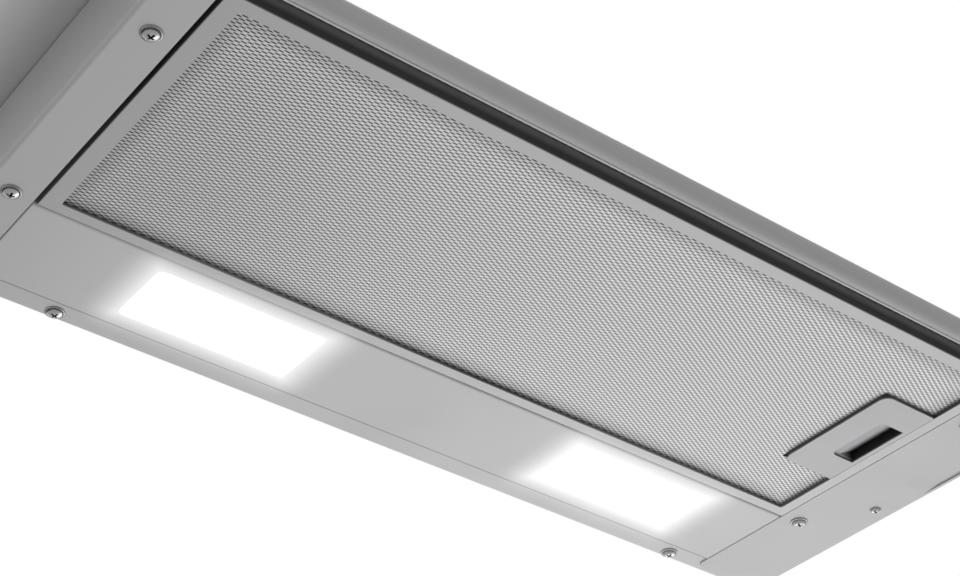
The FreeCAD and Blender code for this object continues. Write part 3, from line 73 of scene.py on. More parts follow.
class HoodColours(bpy.types.PropertyGroup):
    tray: colour("Tray", "Coated sheet of the tray and its covers", (0.54, 0.54, 0.545))
    plate: colour("Plate", "Plain sheet of the top plate", (0.66, 0.66, 0.665))
    latch: colour("Latch", "Plate and slide of the latch", (0.42, 0.42, 0.43))
    bar: colour("Grip bar", "Anodised grip bar across the front", (0.56, 0.56, 0.565))
    filter_rim: colour("Filter frame", "Satin aluminium of the filter frame", (0.44, 0.44, 0.45))
    mesh: colour("Mesh", "Expanded aluminium of the grease mesh", (0.67, 0.67, 0.675))
    zinc: colour("Zinc", "Galvanised sheet and zinc-plated steel", (0.48, 0.49, 0.50))
    plating: colour("Screw plating", "Plated heads of the screws", (0.58, 0.58, 0.585))
    dark: colour("Dark plastic", "Dark mouldings", (0.035, 0.035, 0.037))
    lamp: colour("Lamp", "Light of the lamps", (1.0, 1.0, 1.0))


class HoodSizes(bpy.types.PropertyGroup):
    slit_pitch: metres("Slit pitch", "Slit to slit along a row of the mesh", 0.0055)
    row_pitch: metres("Row pitch", "Row to row of the mesh", 0.00133)
    head_rise: metres("Head rise", "Height of a screw's domed head", 0.002)
    collar_rise: metres("Collar rise", "Height of the collar under a screw's head", 0.0008)
    spring_wire: metres("Spring wire", "Radius of the latch spring's wire", 0.0004)
    latch_travel: metres("Latch travel", "How far the latch slide moves", 0.005)
    lens_corner: metres("Lens corner", "Corner radius of a lamp's lens", 0.0026)
    shank: metres("Shank radius", "Radius of a screw's shank", 0.00175)
    glow: metres("Lamp glow", "How far the lamps' glow reaches over the panel", 0.022)
    floor_drop: metres("Floor drop", "Origin down to the floor", 1.5)


# Node trees.
SURFACE = (("Colour", "Color"), ("Roughness", "Float"), ("Normal", "Vector"))
TONE = (("Tone", "Float"),)
GREY = (0.5, 0.5, 0.5, 1)


class Tree:
    """A small helper that adds nodes to a material or a group and links them."""

    def __init__(self, tree):
        self.tree = tree
        self.links = tree.links

    def add(self, kind, inputs=None, **settings):
        node = self.tree.nodes.new(kind)
        for name, value in settings.items():
            setattr(node, name, value)
        for name, value in (inputs or {}).items():
            self.feed(node.inputs[name], value)
        return node

    def feed(self, socket, value):
        if isinstance(value, bpy.types.NodeSocket):
            self.links.new(value, socket)
        elif hasattr(value, "__len__") and socket.type == "RGBA" and len(value) == 3:
            socket.default_value = (*value, 1.0)
        else:
            socket.default_value = value

    def place(self):
        """Where a point of the surface lies, in the object's own coordinates."""
        return self.add("ShaderNodeTexCoord").outputs["Object"]

    def parts(self, vector):
        """The X, Y and Z of a vector."""
        return self.add("ShaderNodeSeparateXYZ", {"Vector": vector}).outputs

    def math(self, operation, first, second=0.0):
        return self.add("ShaderNodeMath", {0: first, 1: second}, operation=operation).outputs[0]

    def vector(self, operation, first, second=(0.0, 0.0, 0.0)):
        return self.add("ShaderNodeVectorMath", {0: first, 1: second}, operation=operation).outputs

    def noise(self, vector, scale, detail=2.0, roughness=0.5):
        node = self.add("ShaderNodeTexNoise", {"Vector": vector, "Scale": scale, "Detail": detail,
                                               "Roughness": roughness})
        return node.outputs["Fac"]

    def stretch(self, vector, scale):
        return self.add("ShaderNodeMapping", {"Vector": vector, "Scale": scale}).outputs["Vector"]

    def ramp(self, value, start, end, low, high):
        """Maps start to end onto low to high, and holds the ends."""
        node = self.add("ShaderNodeMapRange", {"Value": value, "From Min": start, "From Max": end,
                                               "To Min": low, "To Max": high})
        return node.outputs["Result"]

    def spread(self, value, low, high):
        """Maps 0 to 1 onto low to high."""
        return self.ramp(value, 0.0, 1.0, low, high)

    def varied(self, value, amount):
        """1, give or take an amount times how far a value lies from a half."""
        off = self.math("SUBTRACT", value, 0.5)
        return self.math("ADD", 1.0, self.math("MULTIPLY", off, amount))

    def apart(self, first, second):
        """How far two values lie apart."""
        return self.math("ABSOLUTE", self.math("SUBTRACT", first, second))

    def fade(self, value, reach):
        """1 at a value of 0, and 0 from the reach on."""
        return self.math("MAXIMUM", self.math("SUBTRACT", 1.0, self.math("DIVIDE", value, reach)), 0.0)

    def tint(self, base, factor):
        """A colour times a value."""
        node = self.add("ShaderNodeVectorMath", {0: base, "Scale": factor}, operation="SCALE")
        return node.outputs["Vector"]

    def bump(self, height, strength, distance):
        node = self.add("ShaderNodeBump", {"Height": height, "Strength": strength, "Distance": distance})
        return node.outputs["Normal"]


def group(name, inputs, outputs):
    """A new shader node group with float, colour and vector sockets, as (tree helper, input, output)."""
    tree = bpy.data.node_groups.new(name, "ShaderNodeTree")
    for label, kind, default in inputs:
        socket = tree.interface.new_socket(label, in_out="INPUT", socket_type="NodeSocket" + kind)
        socket.default_value = default
    for label, kind in outputs:
        tree.interface.new_socket(label, in_out="OUTPUT", socket_type="NodeSocket" + kind)
    helper = Tree(tree)
    return helper, helper.add("NodeGroupInput"), helper.add("NodeGroupOutput")


def surface(tree, given, made, tone, gloss, normal):
    """Puts out the given colour times a tone, the given roughness times a factor, and a normal."""
    tree.feed(made.inputs["Colour"], tree.tint(given.outputs["Colour"], tone))
    tree.feed(made.inputs["Roughness"], tree.math("MULTIPLY", gloss, given.outputs["Roughness"]))
    tree.feed(made.inputs["Normal"], normal)
    return tree.tree


def sheet_grain():
    """Coated sheet: a faint cloud in tone and gloss, and a very fine grain."""
    tree, given, made = group("Sheet grain", (
        ("Colour", "Color", GREY), ("Roughness", "Float", 0.35), ("Cloud", "Float", 0.05),
        ("Grain", "Float", 0.15)), SURFACE)
    place = tree.place()
    tone = tree.varied(tree.noise(place, scale=7.0, detail=3.0), given.outputs["Cloud"])
    gloss = tree.spread(tree.noise(place, scale=23.0, detail=4.0), 0.85, 1.15)
    grain = tree.noise(place, scale=2600.0, detail=1.0)
    normal = tree.bump(grain, given.outputs["Grain"], distance=0.00004)
    return surface(tree, given, made, tone, gloss, normal)


def brushed_lines():
    """Brushed or rolled metal: long fine lines along one axis."""
    tree, given, made = group("Brushed lines", (
        ("Colour", "Color", GREY), ("Roughness", "Float", 0.3), ("Stretch", "Vector", (0.02, 1, 1)),
        ("Depth", "Float", 0.2)), SURFACE)
    lines = tree.noise(tree.stretch(tree.place(), given.outputs["Stretch"]), scale=1500.0)
    tone = tree.spread(lines, 0.93, 1.07)
    gloss = tree.spread(lines, 0.8, 1.2)
    normal = tree.bump(lines, given.outputs["Depth"], distance=0.00003)
    return surface(tree, given, made, tone, gloss, normal)


def spangle():
    """Galvanised steel: flat crystals of slightly different tone."""
    tree, given, made = group("Zinc spangle", (
        ("Colour", "Color", GREY), ("Roughness", "Float", 0.4), ("Contrast", "Float", 0.12)), SURFACE)
    place = tree.place()
    cells = tree.add("ShaderNodeTexVoronoi", {"Vector": place, "Scale": 130.0})
    value = tree.add("ShaderNodeSeparateColor", {"Color": cells.outputs["Color"]}).outputs["Red"]
    tone = tree.varied(value, given.outputs["Contrast"])
    gloss = tree.spread(value, 0.8, 1.2)
    normal = tree.bump(tree.noise(place, scale=900.0), strength=0.1, distance=0.00005)
    return surface(tree, given, made, tone, gloss, normal)


def moulded_texture():
    """Moulded plastic: a fine spark texture and a slight bloom of dust."""
    tree, given, made = group("Moulded texture", (
        ("Colour", "Color", (0.03, 0.03, 0.03, 1)), ("Roughness", "Float", 0.5), ("Depth", "Float", 0.3)),
        SURFACE)
    place = tree.place()
    dust = tree.noise(place, scale=30.0, detail=4.0, roughness=0.6)
    tone = tree.spread(dust, 0.9, 1.15)
    gloss = tree.spread(dust, 0.85, 1.15)
    normal = tree.bump(tree.noise(place, scale=1900.0), given.outputs["Depth"], distance=0.00006)
    return surface(tree, given, made, tone, gloss, normal)


def expanded_slits():
    """Expanded mesh: staggered rows of short slits, and the raised strands between them."""
    tree, given, made = group("Expanded slits", (
        ("Slit pitch", "Float", 0.0055), ("Row pitch", "Float", 0.00133), ("Slit length", "Float", 0.32),
        ("Slit width", "Float", 0.32)), (("Slit", "Float"), ("Height", "Float")))
    part = tree.parts(tree.place())
    rows = tree.math("DIVIDE", part["Y"], given.outputs["Row pitch"])
    every_other = tree.math("FLOORED_MODULO", tree.math("FLOOR", rows), 2.0)
    shift = tree.math("MULTIPLY", every_other, 0.5)
    along = tree.math("ADD", tree.math("DIVIDE", part["X"], given.outputs["Slit pitch"]), shift)
    off_x = tree.apart(tree.math("FRACT", along), 0.5)
    off_y = tree.apart(tree.math("FRACT", rows), 0.5)
    far_x = tree.math("POWER", tree.math("DIVIDE", off_x, given.outputs["Slit length"]), 2.5)
    far_y = tree.math("POWER", tree.math("DIVIDE", off_y, given.outputs["Slit width"]), 2.0)
    reach = tree.math("ADD", far_x, far_y)
    tree.feed(made.inputs["Slit"], tree.ramp(reach, 0.85, 1.15, 1.0, 0.0))
    tree.feed(made.inputs["Height"], tree.math("MINIMUM", reach, 2.5))
    return tree.tree


def lamp_glow():
    """How much painted glow of the lamps a place gets: strong within the reach, and faint for seven reaches.
    """
    tree, given, made = group("Lamp glow", (
        ("Lamp x", "Float", 0.1415), ("Lamp y", "Float", 0.089), ("Half length", "Float", 0.052),
        ("Half width", "Float", 0.023), ("Reach", "Float", 0.02)), (("Glow", "Float"),))
    part = tree.parts(tree.place())
    across = tree.apart(tree.math("ABSOLUTE", part["X"]), given.outputs["Lamp x"])
    along = tree.apart(part["Y"], given.outputs["Lamp y"])
    past_x = tree.math("MAXIMUM", tree.math("SUBTRACT", across, given.outputs["Half length"]), 0.0)
    past_y = tree.math("MAXIMUM", tree.math("SUBTRACT", along, given.outputs["Half width"]), 0.0)
    squares = tree.math("ADD", tree.math("POWER", past_x, 2.0), tree.math("POWER", past_y, 2.0))
    gap = tree.math("SQRT", squares)
    near = tree.math("POWER", tree.fade(gap, given.outputs["Reach"]), 1.8)
    far_reach = tree.math("MULTIPLY", given.outputs["Reach"], 7.0)
    far = tree.math("MULTIPLY", tree.math("POWER", tree.fade(gap, far_reach), 1.5), 0.14)
    tree.feed(made.inputs["Glow"], tree.math("ADD", near, far))
    return tree.tree


def deep_shade():
    """Painted shade in a recess, darker with its depth: 1 at its mouth, falling to the floor tone at its full
    depth.

    Before the lit front it rises again from 3 to 8 mm in, up to the lit tone.
    """
    tree, given, made = group("Deep shade", (
        ("Mouth", "Vector", (0, 0, -0.05)), ("Inward", "Vector", (0, 0, 1)), ("Depth", "Float", 0.002),
        ("Floor tone", "Float", 0.3), ("Lit front", "Float", -1.0), ("Lit tone", "Float", 0.85)), TONE)
    place = tree.place()
    inside = tree.vector("SUBTRACT", place, given.outputs["Mouth"])["Vector"]
    depth = tree.vector("DOT_PRODUCT", inside, given.outputs["Inward"])["Value"]
    tone = tree.ramp(depth, 0.0002, given.outputs["Depth"], 1.0, given.outputs["Floor tone"])
    lit = tree.ramp(depth, 0.003, 0.008, 0.0, given.outputs["Lit tone"])
    front = tree.math("LESS_THAN", tree.parts(place)["Y"], given.outputs["Lit front"])
    tree.feed(made.inputs["Tone"], tree.math("MAXIMUM", tone, tree.math("MULTIPLY", front, lit)))
    return tree.tree


def seam_shade():
    """The painted shade line where a flat sheet meets its neighbours: 1 inside, less by the depth at its
    outline.
    """
    tree, given, made = group("Seam shade", (
        ("Middle", "Vector", (0, 0, 0)), ("Half size", "Vector", (0.1, 0.1, 0.1)), ("Width", "Float", 0.0005),
        ("Depth", "Float", 0.6)), TONE)
    from_middle = tree.vector("SUBTRACT", tree.place(), given.outputs["Middle"])["Vector"]
    reach = tree.vector("ABSOLUTE", from_middle)["Vector"]
    left = tree.parts(tree.vector("SUBTRACT", given.outputs["Half size"], reach)["Vector"])
    gap = tree.math("MINIMUM", left["X"], left["Y"])
    line = tree.math("MINIMUM", tree.fade(gap, given.outputs["Width"]), 1.0)
    shade = tree.math("MULTIPLY", line, given.outputs["Depth"])
    tree.feed(made.inputs["Tone"], tree.math("SUBTRACT", 1.0, shade))
    return tree.tree


MAKERS = {"Sheet grain": sheet_grain, "Brushed lines": brushed_lines, "Zinc spangle": spangle,
          "Moulded texture": moulded_texture, "Expanded slits": expanded_slits, "Lamp glow": lamp_glow,
          "Seam shade": seam_shade, "Deep shade": deep_shade}
GROUPS = {}


def effect(tree, name, **inputs):
    """Places a named node group in a material with its own values."""
    if name not in GROUPS:
        GROUPS[name] = MAKERS[name]()
    node = tree.add("ShaderNodeGroup", node_tree=GROUPS[name])
    for label, value in inputs.items():
        tree.feed(node.inputs[label.replace("_", " ").capitalize()], value)
    return node.outputs


def opened(made):
    """A material's tree helper and its shader."""
    return Tree(made.node_tree), made.node_tree.nodes["Principled BSDF"]


def material(name, plain):
    """A new material whose shader has these plain sockets, as (material, tree helper, shader)."""
    made = bpy.data.materials.new(name)
    made.use_nodes = True
    tree, shader = opened(made)
    for label, value in plain.items():
        tree.feed(shader.inputs[label], value)
    return made, tree, shader


def finish(name, look, metallic=0.0, specular=0.5, **inputs):
    """A material made from one surface effect."""
    made, tree, shader = material(name, {"Metallic": metallic, "Specular IOR Level": specular})
    given = effect(tree, look, **inputs)
    tree.feed(shader.inputs["Base Color"], given["Colour"])
    tree.feed(shader.inputs["Roughness"], given["Roughness"])
    tree.feed(shader.inputs["Normal"], given["Normal"])
    return made


def coated(name):
    """The coated sheet of the tray, as a material of its own."""
    tray = bpy.context.scene.hood_colours.tray
    return finish(name, "Sheet grain", metallic=0.15, specular=0.35, Colour=tray, Roughness=0.48, Cloud=0.04,
                  Grain=0.15)


def dress(made, *names):
    """Gives CAD nodes a material."""
    for name in names:
        slots = NODES[name].material_slots
        for slot in slots:
            slot.link = "OBJECT"
            slot.material = made
        if not slots:
            NODES[name].data.materials.append(made)


def painted_glow(made, strength):
    """Paints the glow of the lamps into a material, as emission on a part that is no lamp."""
    tree, shader = opened(made)
    low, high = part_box("led_lens_right")
    middle, half = (low + high) / 2, (high - low) / 2
    glow = effect(tree, "Lamp glow", Lamp_x=middle.x, Lamp_y=middle.y, Half_length=half.x, Half_width=half.y,
                  Reach=bpy.context.scene.hood_sizes.glow)
    tree.feed(shader.inputs["Emission Color"], tree.tint((1.0, 1.0, 1.0), glow["Glow"]))
    tree.feed(shader.inputs["Emission Strength"], strength)


def toned(made, tone):
    """Multiplies a material's colour by a value from its own tree."""
    tree, shader = opened(made)
    base = shader.inputs["Base Color"].links[0].from_socket
    tree.feed(shader.inputs["Base Color"], tree.tint(base, tone))


def painted_recess_shade(made, **inputs):
    """Paints shade into a material inside a recess."""
    toned(made, effect(Tree(made.node_tree), "Deep shade", **inputs)["Tone"])


def painted_edge_shade(made, low, high, width, depth):
    """Paints a shade line into a material along the outline of a box, by a depth that fades over a width."""
    seam = effect(Tree(made.node_tree), "Seam shade", Middle=(low + high) / 2, Half_size=(high - low) / 2,
                  Width=width, Depth=depth)
    toned(made, seam["Tone"])


# Shapes. Corners this near are one, corners this near a level lie on it, and steeper edges stay sharp.
SAME_PLACE = 1e-6
ON_LEVEL = 1e-5
SHARP_EDGE = 0.6


def solids_of(node):
    """The lowest and highest corner of each separate solid in a CAD node."""
    shape = bmesh.new()
    shape.from_mesh(NODES[node].data)
    bmesh.ops.remove_doubles(shape, verts=shape.verts, dist=SAME_PLACE)
    waiting = set(shape.verts)
    boxes = []
    while waiting:
        edge_of_search = [waiting.pop()]
        low, high = edge_of_search[0].co.copy(), edge_of_search[0].co.copy()
        while edge_of_search:
            here = edge_of_search.pop()
            low = Vector(map(min, low, here.co))
            high = Vector(map(max, high, here.co))
            for edge in here.link_edges:
                other = edge.other_vert(here)
                if other in waiting:
                    waiting.remove(other)
                    edge_of_search.append(other)
        boxes.append((low, high))
    shape.free()
    return sorted(boxes, key=lambda box: tuple(box[0]))


def turned(shape, profile, centre, steps):
    """Turns a profile of (radius, height) points about an upright axis and returns the new vertices."""
    before = set(shape.verts)
    verts = [shape.verts.new((centre.x + radius, centre.y, height)) for radius, height in profile]
    edges = [shape.edges.new(pair) for pair in zip(verts, verts[1:])]
    bmesh.ops.spin(shape, geom=verts + edges, cent=(centre.x, centre.y, 0), axis=(0, 0, 1), angle=math.tau,
                   steps=steps, use_merge=True)
    return [vert for vert in shape.verts if vert not in before]


def pulled(shape, faces, way):
    """Extrudes faces a given way and returns the moved vertices."""
    pulled_out = bmesh.ops.extrude_face_region(shape, geom=faces)["geom"]
    verts = [item for item in pulled_out if isinstance(item, bmesh.types.BMVert)]
    bmesh.ops.translate(shape, verts=verts, vec=way)
    return verts


def add_piece(name, shape, made, body, slot, *nodes):
    """Closes a bmesh, makes it a piece that rides on a body, and hides the CAD nodes it stands for."""
    bmesh.ops.remove_doubles(shape, verts=shape.verts, dist=SAME_PLACE)
    bmesh.ops.recalc_face_normals(shape, faces=shape.faces)
    for face in shape.faces:
        face.smooth = True
    for edge in shape.edges:
        edge.smooth = edge.calc_face_angle(0.0) < SHARP_EDGE
    mesh = bpy.data.meshes.new(name)
    shape.to_mesh(mesh)
    shape.free()
    mesh.materials.append(made)
    piece = bpy.data.objects.new(name, mesh)
    bpy.context.scene.collection.objects.link(piece)
    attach(piece, body)
    if nodes:
        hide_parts(*nodes)
    return piece


# Pieces. Lengths are in metres, and a painted glow of 1 is full white.
# The lamps' glow painted on the panel and on the filter rim, and the lenses' own light.
PANEL_GLOW = 0.46
RIM_GLOW = 0.28
LENS_GLOW = 2.2
# The slits' near-black is painted shade, for the dark seen through the openings.
SLIT_BLACK = (0.004, 0.004, 0.004)
MESH_COVERED = Vector((0.007, 0.006, 0))  # How far the filter's rim covers its mesh.
SCOOP_START = Vector((0.019, 0, 0))  # The latch slide's left front corner to the mouth of its scoop.
SPRING_TURNS = 6
SPRING_STEPS_A_TURN = 28
LENS_PROUD = 0.00005
LENS_EASE = 0.0003
RAMP_RUN = 12  # The control ramp's length over its rise.
SCREW_HOLE = 0.003  # The fascia screw's hole in the cover lies within this of the screw's middle.
FASCIA_FLARE = 1.7  # The fascia screw's collar over its plain solid.

# A screw's shape. The first three are shares, of its collar's width and of its head's rise.
HEAD_SHARE = 8 / 11
HEAD_EDGE = 0.3
CROSS_DEPTH = 0.75
DOME_RINGS = 26
DOME_STEPS = 56
DOME_CURVE = 2.6
FIRST_TURN = 0.35
NEXT_TURN = 1.1
# How much painted shade the cross recess, the collar's groove and the collar get.
CROSS_SHADE = 1.6
GROOVE_SHADE = 0.8
COLLAR_SHADE = 0.5

# The light of the room.
AMBIENT = 0.455
LEAN = (0.07, 0.2, 0.0)
SOFTBOX_SIZE = 1.8
FLOOR_SIZE = 6.0
FLOOR_GLOW = 0.3


class HoodOperator:
    bl_options = {"REGISTER", "UNDO"}

    @property
    def colours(self):
        return bpy.context.scene.hood_colours

    @property
    def sizes(self):
        return bpy.context.scene.hood_sizes


class HOOD_OT_tray(HoodOperator, bpy.types.Operator):
    """Finish the folded sheets of the tray and the top plate"""
    bl_idname = "hood.tray"
    bl_label = "Tray"

    def execute(self, context):
        dress(coated("Coated sheet"), "left_side_channel", "right_side_channel", "control_fascia")
        # The rear strip and the lamp panel take their own copies of the coated sheet, which carry the lamps'
        # painted glow and a painted shade line along their edges.
        strip = coated("Rear strip sheet")
        painted_glow(strip, PANEL_GLOW)
        low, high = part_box("rear_channel")
        low.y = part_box("light_panel")[1].y
        painted_edge_shade(strip, low, high, width=0.0008, depth=0.8)
        dress(strip, "rear_channel")
        plate = finish("Plain plate", "Sheet grain", metallic=0.85, Colour=self.colours.plate, Roughness=0.34,
                       Cloud=0.06, Grain=0.1)
        dress(plate, "top_plate")
        panel = coated("Lamp panel sheet")
        painted_glow(panel, PANEL_GLOW)
        painted_edge_shade(panel, *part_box("light_panel"), width=0.0011, depth=0.85)
        dress(panel, "light_panel")
        return {"FINISHED"}


class HOOD_OT_grip_bar(HoodOperator, bpy.types.Operator):
    """Finish the grip bar, its end caps and the visor behind it"""
    bl_idname = "hood.grip_bar"
    bl_label = "Grip Bar and Visor"

    def execute(self, context):
        bar = finish("Anodised bar", "Brushed lines", metallic=0.15, specular=0.2, Colour=self.colours.bar,
                     Roughness=0.55, Stretch=(0.01, 1, 1), Depth=0.12)
        dress(bar, "front_bar")
        caps = finish("Cap moulding", "Moulded texture", Colour=self.colours.bar, Roughness=0.45, Depth=0.2)
        dress(caps, "bar_cap_left", "bar_cap_right")
        visor = finish("Visor sheet", "Sheet grain", metallic=0.35, Colour=self.colours.bar, Roughness=0.4,
                       Cloud=0.05, Grain=0.15)
        dress(visor, "visor_frame")
        return {"FINISHED"}


class HOOD_OT_grease_filter(HoodOperator, bpy.types.Operator):
    """Finish the grease filter's frame and the expanded meshes"""
    bl_idname = "hood.grease_filter"
    bl_label = "Grease Filter"

    def execute(self, context):
        self.rim()
        self.mesh()
        layers = finish("Filter layers", "Brushed lines", metallic=0.6, Colour=(0.2, 0.2, 0.2), Roughness=0.5,
                        Stretch=(0.2, 1, 1), Depth=0.8)
        dress(layers, "filter_backing")
        return {"FINISHED"}

    def rim(self):
        """The filter's frame, with painted shade in its gap to the covers, except on its front wall, which is
        painted lighter as if lit, and with the lamps' painted glow.
        """
        rim = finish("Filter rim", "Brushed lines", metallic=0.4, Colour=self.colours.filter_rim,
                     Roughness=0.48, Stretch=(0.03, 1, 1), Depth=0.12)
        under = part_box("filter_frame")[0]
        # Painted shade on the rim's walls, and a painted lit tone on its front wall.
        painted_recess_shade(rim, Mouth=under, Depth=0.001, Floor_tone=0.25, Lit_front=under.y + 0.0005)
        painted_glow(rim, RIM_GLOW)
        dress(rim, "filter_frame")

    def mesh(self):
        """The expanded meshes: pale strands, near-black slits painted as the shade seen through them, and
        painted shade near the edge beside the rim and on all that lies outside it.
        """
        made, tree, shader = material("Expanded mesh", {"Metallic": 0.4, "Roughness": 0.45})
        slits = effect(tree, "Expanded slits", Slit_pitch=self.sizes.slit_pitch,
                       Row_pitch=self.sizes.row_pitch)
        mix = tree.add("ShaderNodeMix", {0: slits["Slit"]}, data_type="RGBA")
        strand, opening = mix.inputs[6], mix.inputs[7]
        tree.feed(strand, self.colours.mesh)
        tree.feed(opening, SLIT_BLACK)
        tree.feed(shader.inputs["Base Color"], mix.outputs[2])
        tree.feed(shader.inputs["Normal"], tree.bump(slits["Height"], strength=0.15, distance=0.0003))
        # Painted shade within 12 mm of the edge that the rim leaves showing, and all over beyond it.
        low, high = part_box("filter_mesh")
        painted_edge_shade(made, low + MESH_COVERED, high - MESH_COVERED, width=0.012, depth=0.35)
        dress(made, "filter_mesh", "visor_mesh")


class HOOD_OT_latch(HoodOperator, bpy.types.Operator):
    """Finish the latch, its slide and the bright pins, and make its coil spring"""
    bl_idname = "hood.latch"
    bl_label = "Latch and Pivots"

    def execute(self, context):
        housing = finish("Latch housing", "Sheet grain", metallic=0.2, Colour=self.colours.latch,
                         Roughness=0.42, Cloud=0.03, Grain=0.15)
        # Painted shade inside the latch housing's recess.
        painted_recess_shade(housing, Mouth=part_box("latch_housing")[0], Depth=0.001, Floor_tone=0.25)
        dress(housing, "latch_housing", "latch_cover")
        slide = finish("Latch slide", "Moulded texture", Colour=self.colours.latch, Roughness=0.45,
                       Depth=0.15)
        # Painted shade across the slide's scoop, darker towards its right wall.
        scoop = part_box("latch_slider")[0] + SCOOP_START
        painted_recess_shade(slide, Mouth=scoop, Inward=(1, 0, 0), Depth=0.0085, Floor_tone=0.05)
        dress(slide, "latch_slider")
        steel = finish("Bright steel", "Brushed lines", metallic=1.0, Colour=(0.6, 0.6, 0.61), Roughness=0.25,
                       Stretch=(1, 1, 0.05), Depth=0.1)
        dress(steel, "filter_pins", "motor_shaft", "damper_pin")
        self.spring(steel)
        return {"FINISHED"}

    def spring(self, steel):
        """The latch's coil spring, which is held by the housing at its left end and which the slide squeezes
        in use; here it is made at its full length.
        """
        low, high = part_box("latch_spring")
        middle, length = (low + high) / 2, high.x - low.x
        wire = self.sizes.spring_wire
        radius = (high.z - low.z) / 2 - wire
        shape = bmesh.new()
        start = Matrix.Translation((low.x + wire, middle.y, middle.z + radius))
        round_wire = bmesh.ops.create_circle(shape, cap_ends=True, segments=12, radius=wire,
                                             matrix=start @ Matrix.Rotation(math.pi / 2, 4, "X"))["verts"]
        steps = SPRING_TURNS * SPRING_STEPS_A_TURN
        bmesh.ops.spin(shape, geom=round_wire + shape.edges[:] + shape.faces[:], cent=middle, axis=(1, 0, 0),
                       dvec=((length - 2 * wire) / steps, 0, 0), angle=math.tau * SPRING_TURNS, steps=steps)
        coil = add_piece("Latch_spring_coil", shape, steel, "filter", "zinc_steel", "latch_spring")
        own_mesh(coil)


class HOOD_OT_lamps(HoodOperator, bpy.types.Operator):
    """Light the lamps and finish their cases"""
    bl_idname = "hood.lamps"
    bl_label = "Lamps"

    def execute(self, context):
        lens, tree, shader = material("Lit lens", {"Base Color": (0.9, 0.9, 0.9), "Roughness": 0.35,
                                                   "Emission Strength": LENS_GLOW})
        tree.feed(shader.inputs["Emission Color"], self.colours.lamp)
        for side in ("left", "right"):
            self.lens(side, lens)
        case = finish("Lamp case", "Moulded texture", Colour=(0.7, 0.7, 0.7), Roughness=0.5, Depth=0.2)
        dress(case, "led_module_left", "led_module_right")
        return {"FINISHED"}

    def lens(self, side, made):
        """One lens: a rounded plate with an eased rim, a hair proud of the panel."""
        low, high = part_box("led_lens_" + side)
        low.z -= LENS_PROUD
        middle, half = (low + high) / 2, (high - low) / 2
        shape = bmesh.new()
        plate = Matrix.Translation((middle.x, middle.y, high.z)) @ Matrix.Diagonal((half.x, half.y, 1, 1))
        bmesh.ops.create_grid(shape, x_segments=1, y_segments=1, size=1.0, matrix=plate)
        bmesh.ops.bevel(shape, geom=list(shape.verts), offset=self.sizes.lens_corner, offset_type="OFFSET",
                        affect="VERTICES", segments=7, profile=0.5, material=-1)
        rim = set(pulled(shape, list(shape.faces), (0, 0, low.z - high.z)))
        edges = [edge for edge in shape.edges if all(vert in rim for vert in edge.verts)]
        bmesh.ops.bevel(shape, geom=edges, offset=LENS_EASE, offset_type="OFFSET", affect="EDGES", segments=2,
                        profile=0.5, material=-1)
        add_piece("Lens_" + side, shape, made, "hood", "lens", "led_lens_" + side)


class HOOD_OT_controls(HoodOperator, bpy.types.Operator):
    """Finish the control recess, its knobs and the electrical housings"""
    bl_idname = "hood.controls"
    bl_label = "Controls and Electrics"

    def execute(self, context):
        knobs = finish("Control plastic", "Moulded texture", Colour=(0.06, 0.06, 0.062), Roughness=0.45,
                       Depth=0.25)
        dress(knobs, "light_knob", "speed_knob")
        self.ramp()
        black = finish("Black plastic", "Moulded texture", Colour=self.colours.dark, Roughness=0.55,
                       Depth=0.35)
        dress(black, "switch_block", "terminal_box", "cable_gland", "led_driver")
        return {"FINISHED"}

    def ramp(self):
        """The rear end of the control recess, which slopes up from the cover to the fascia."""
        low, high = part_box("control_fascia")
        screw_low, screw_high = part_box("fascia_screw")
        screw = (screw_low + screw_high) / 2
        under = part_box("right_side_channel")[0].z
        level = [vert.co for vert in NODES["right_side_channel"].data.vertices
                 if abs(vert.co.z - under) < ON_LEVEL]
        rim = [co for co in level if low.x < co.x < high.x and low.y < co.y < high.y
               and (co.xy - screw.xy).length > SCREW_HOLE]
        left, right = min(co.x for co in rim), max(co.x for co in rim)
        back, rise = max(co.y for co in rim), low.z - under
        shape = bmesh.new()
        corners = [shape.verts.new((left, y, z)) for y, z in (
            (back, under), (back - rise * RAMP_RUN, under + rise), (back, under + rise))]
        pulled(shape, [shape.faces.new(corners)], (right - left, 0, 0))
        add_piece("Control_ramp", shape, bpy.data.materials["Coated sheet"], "hood", "tray_sheet")


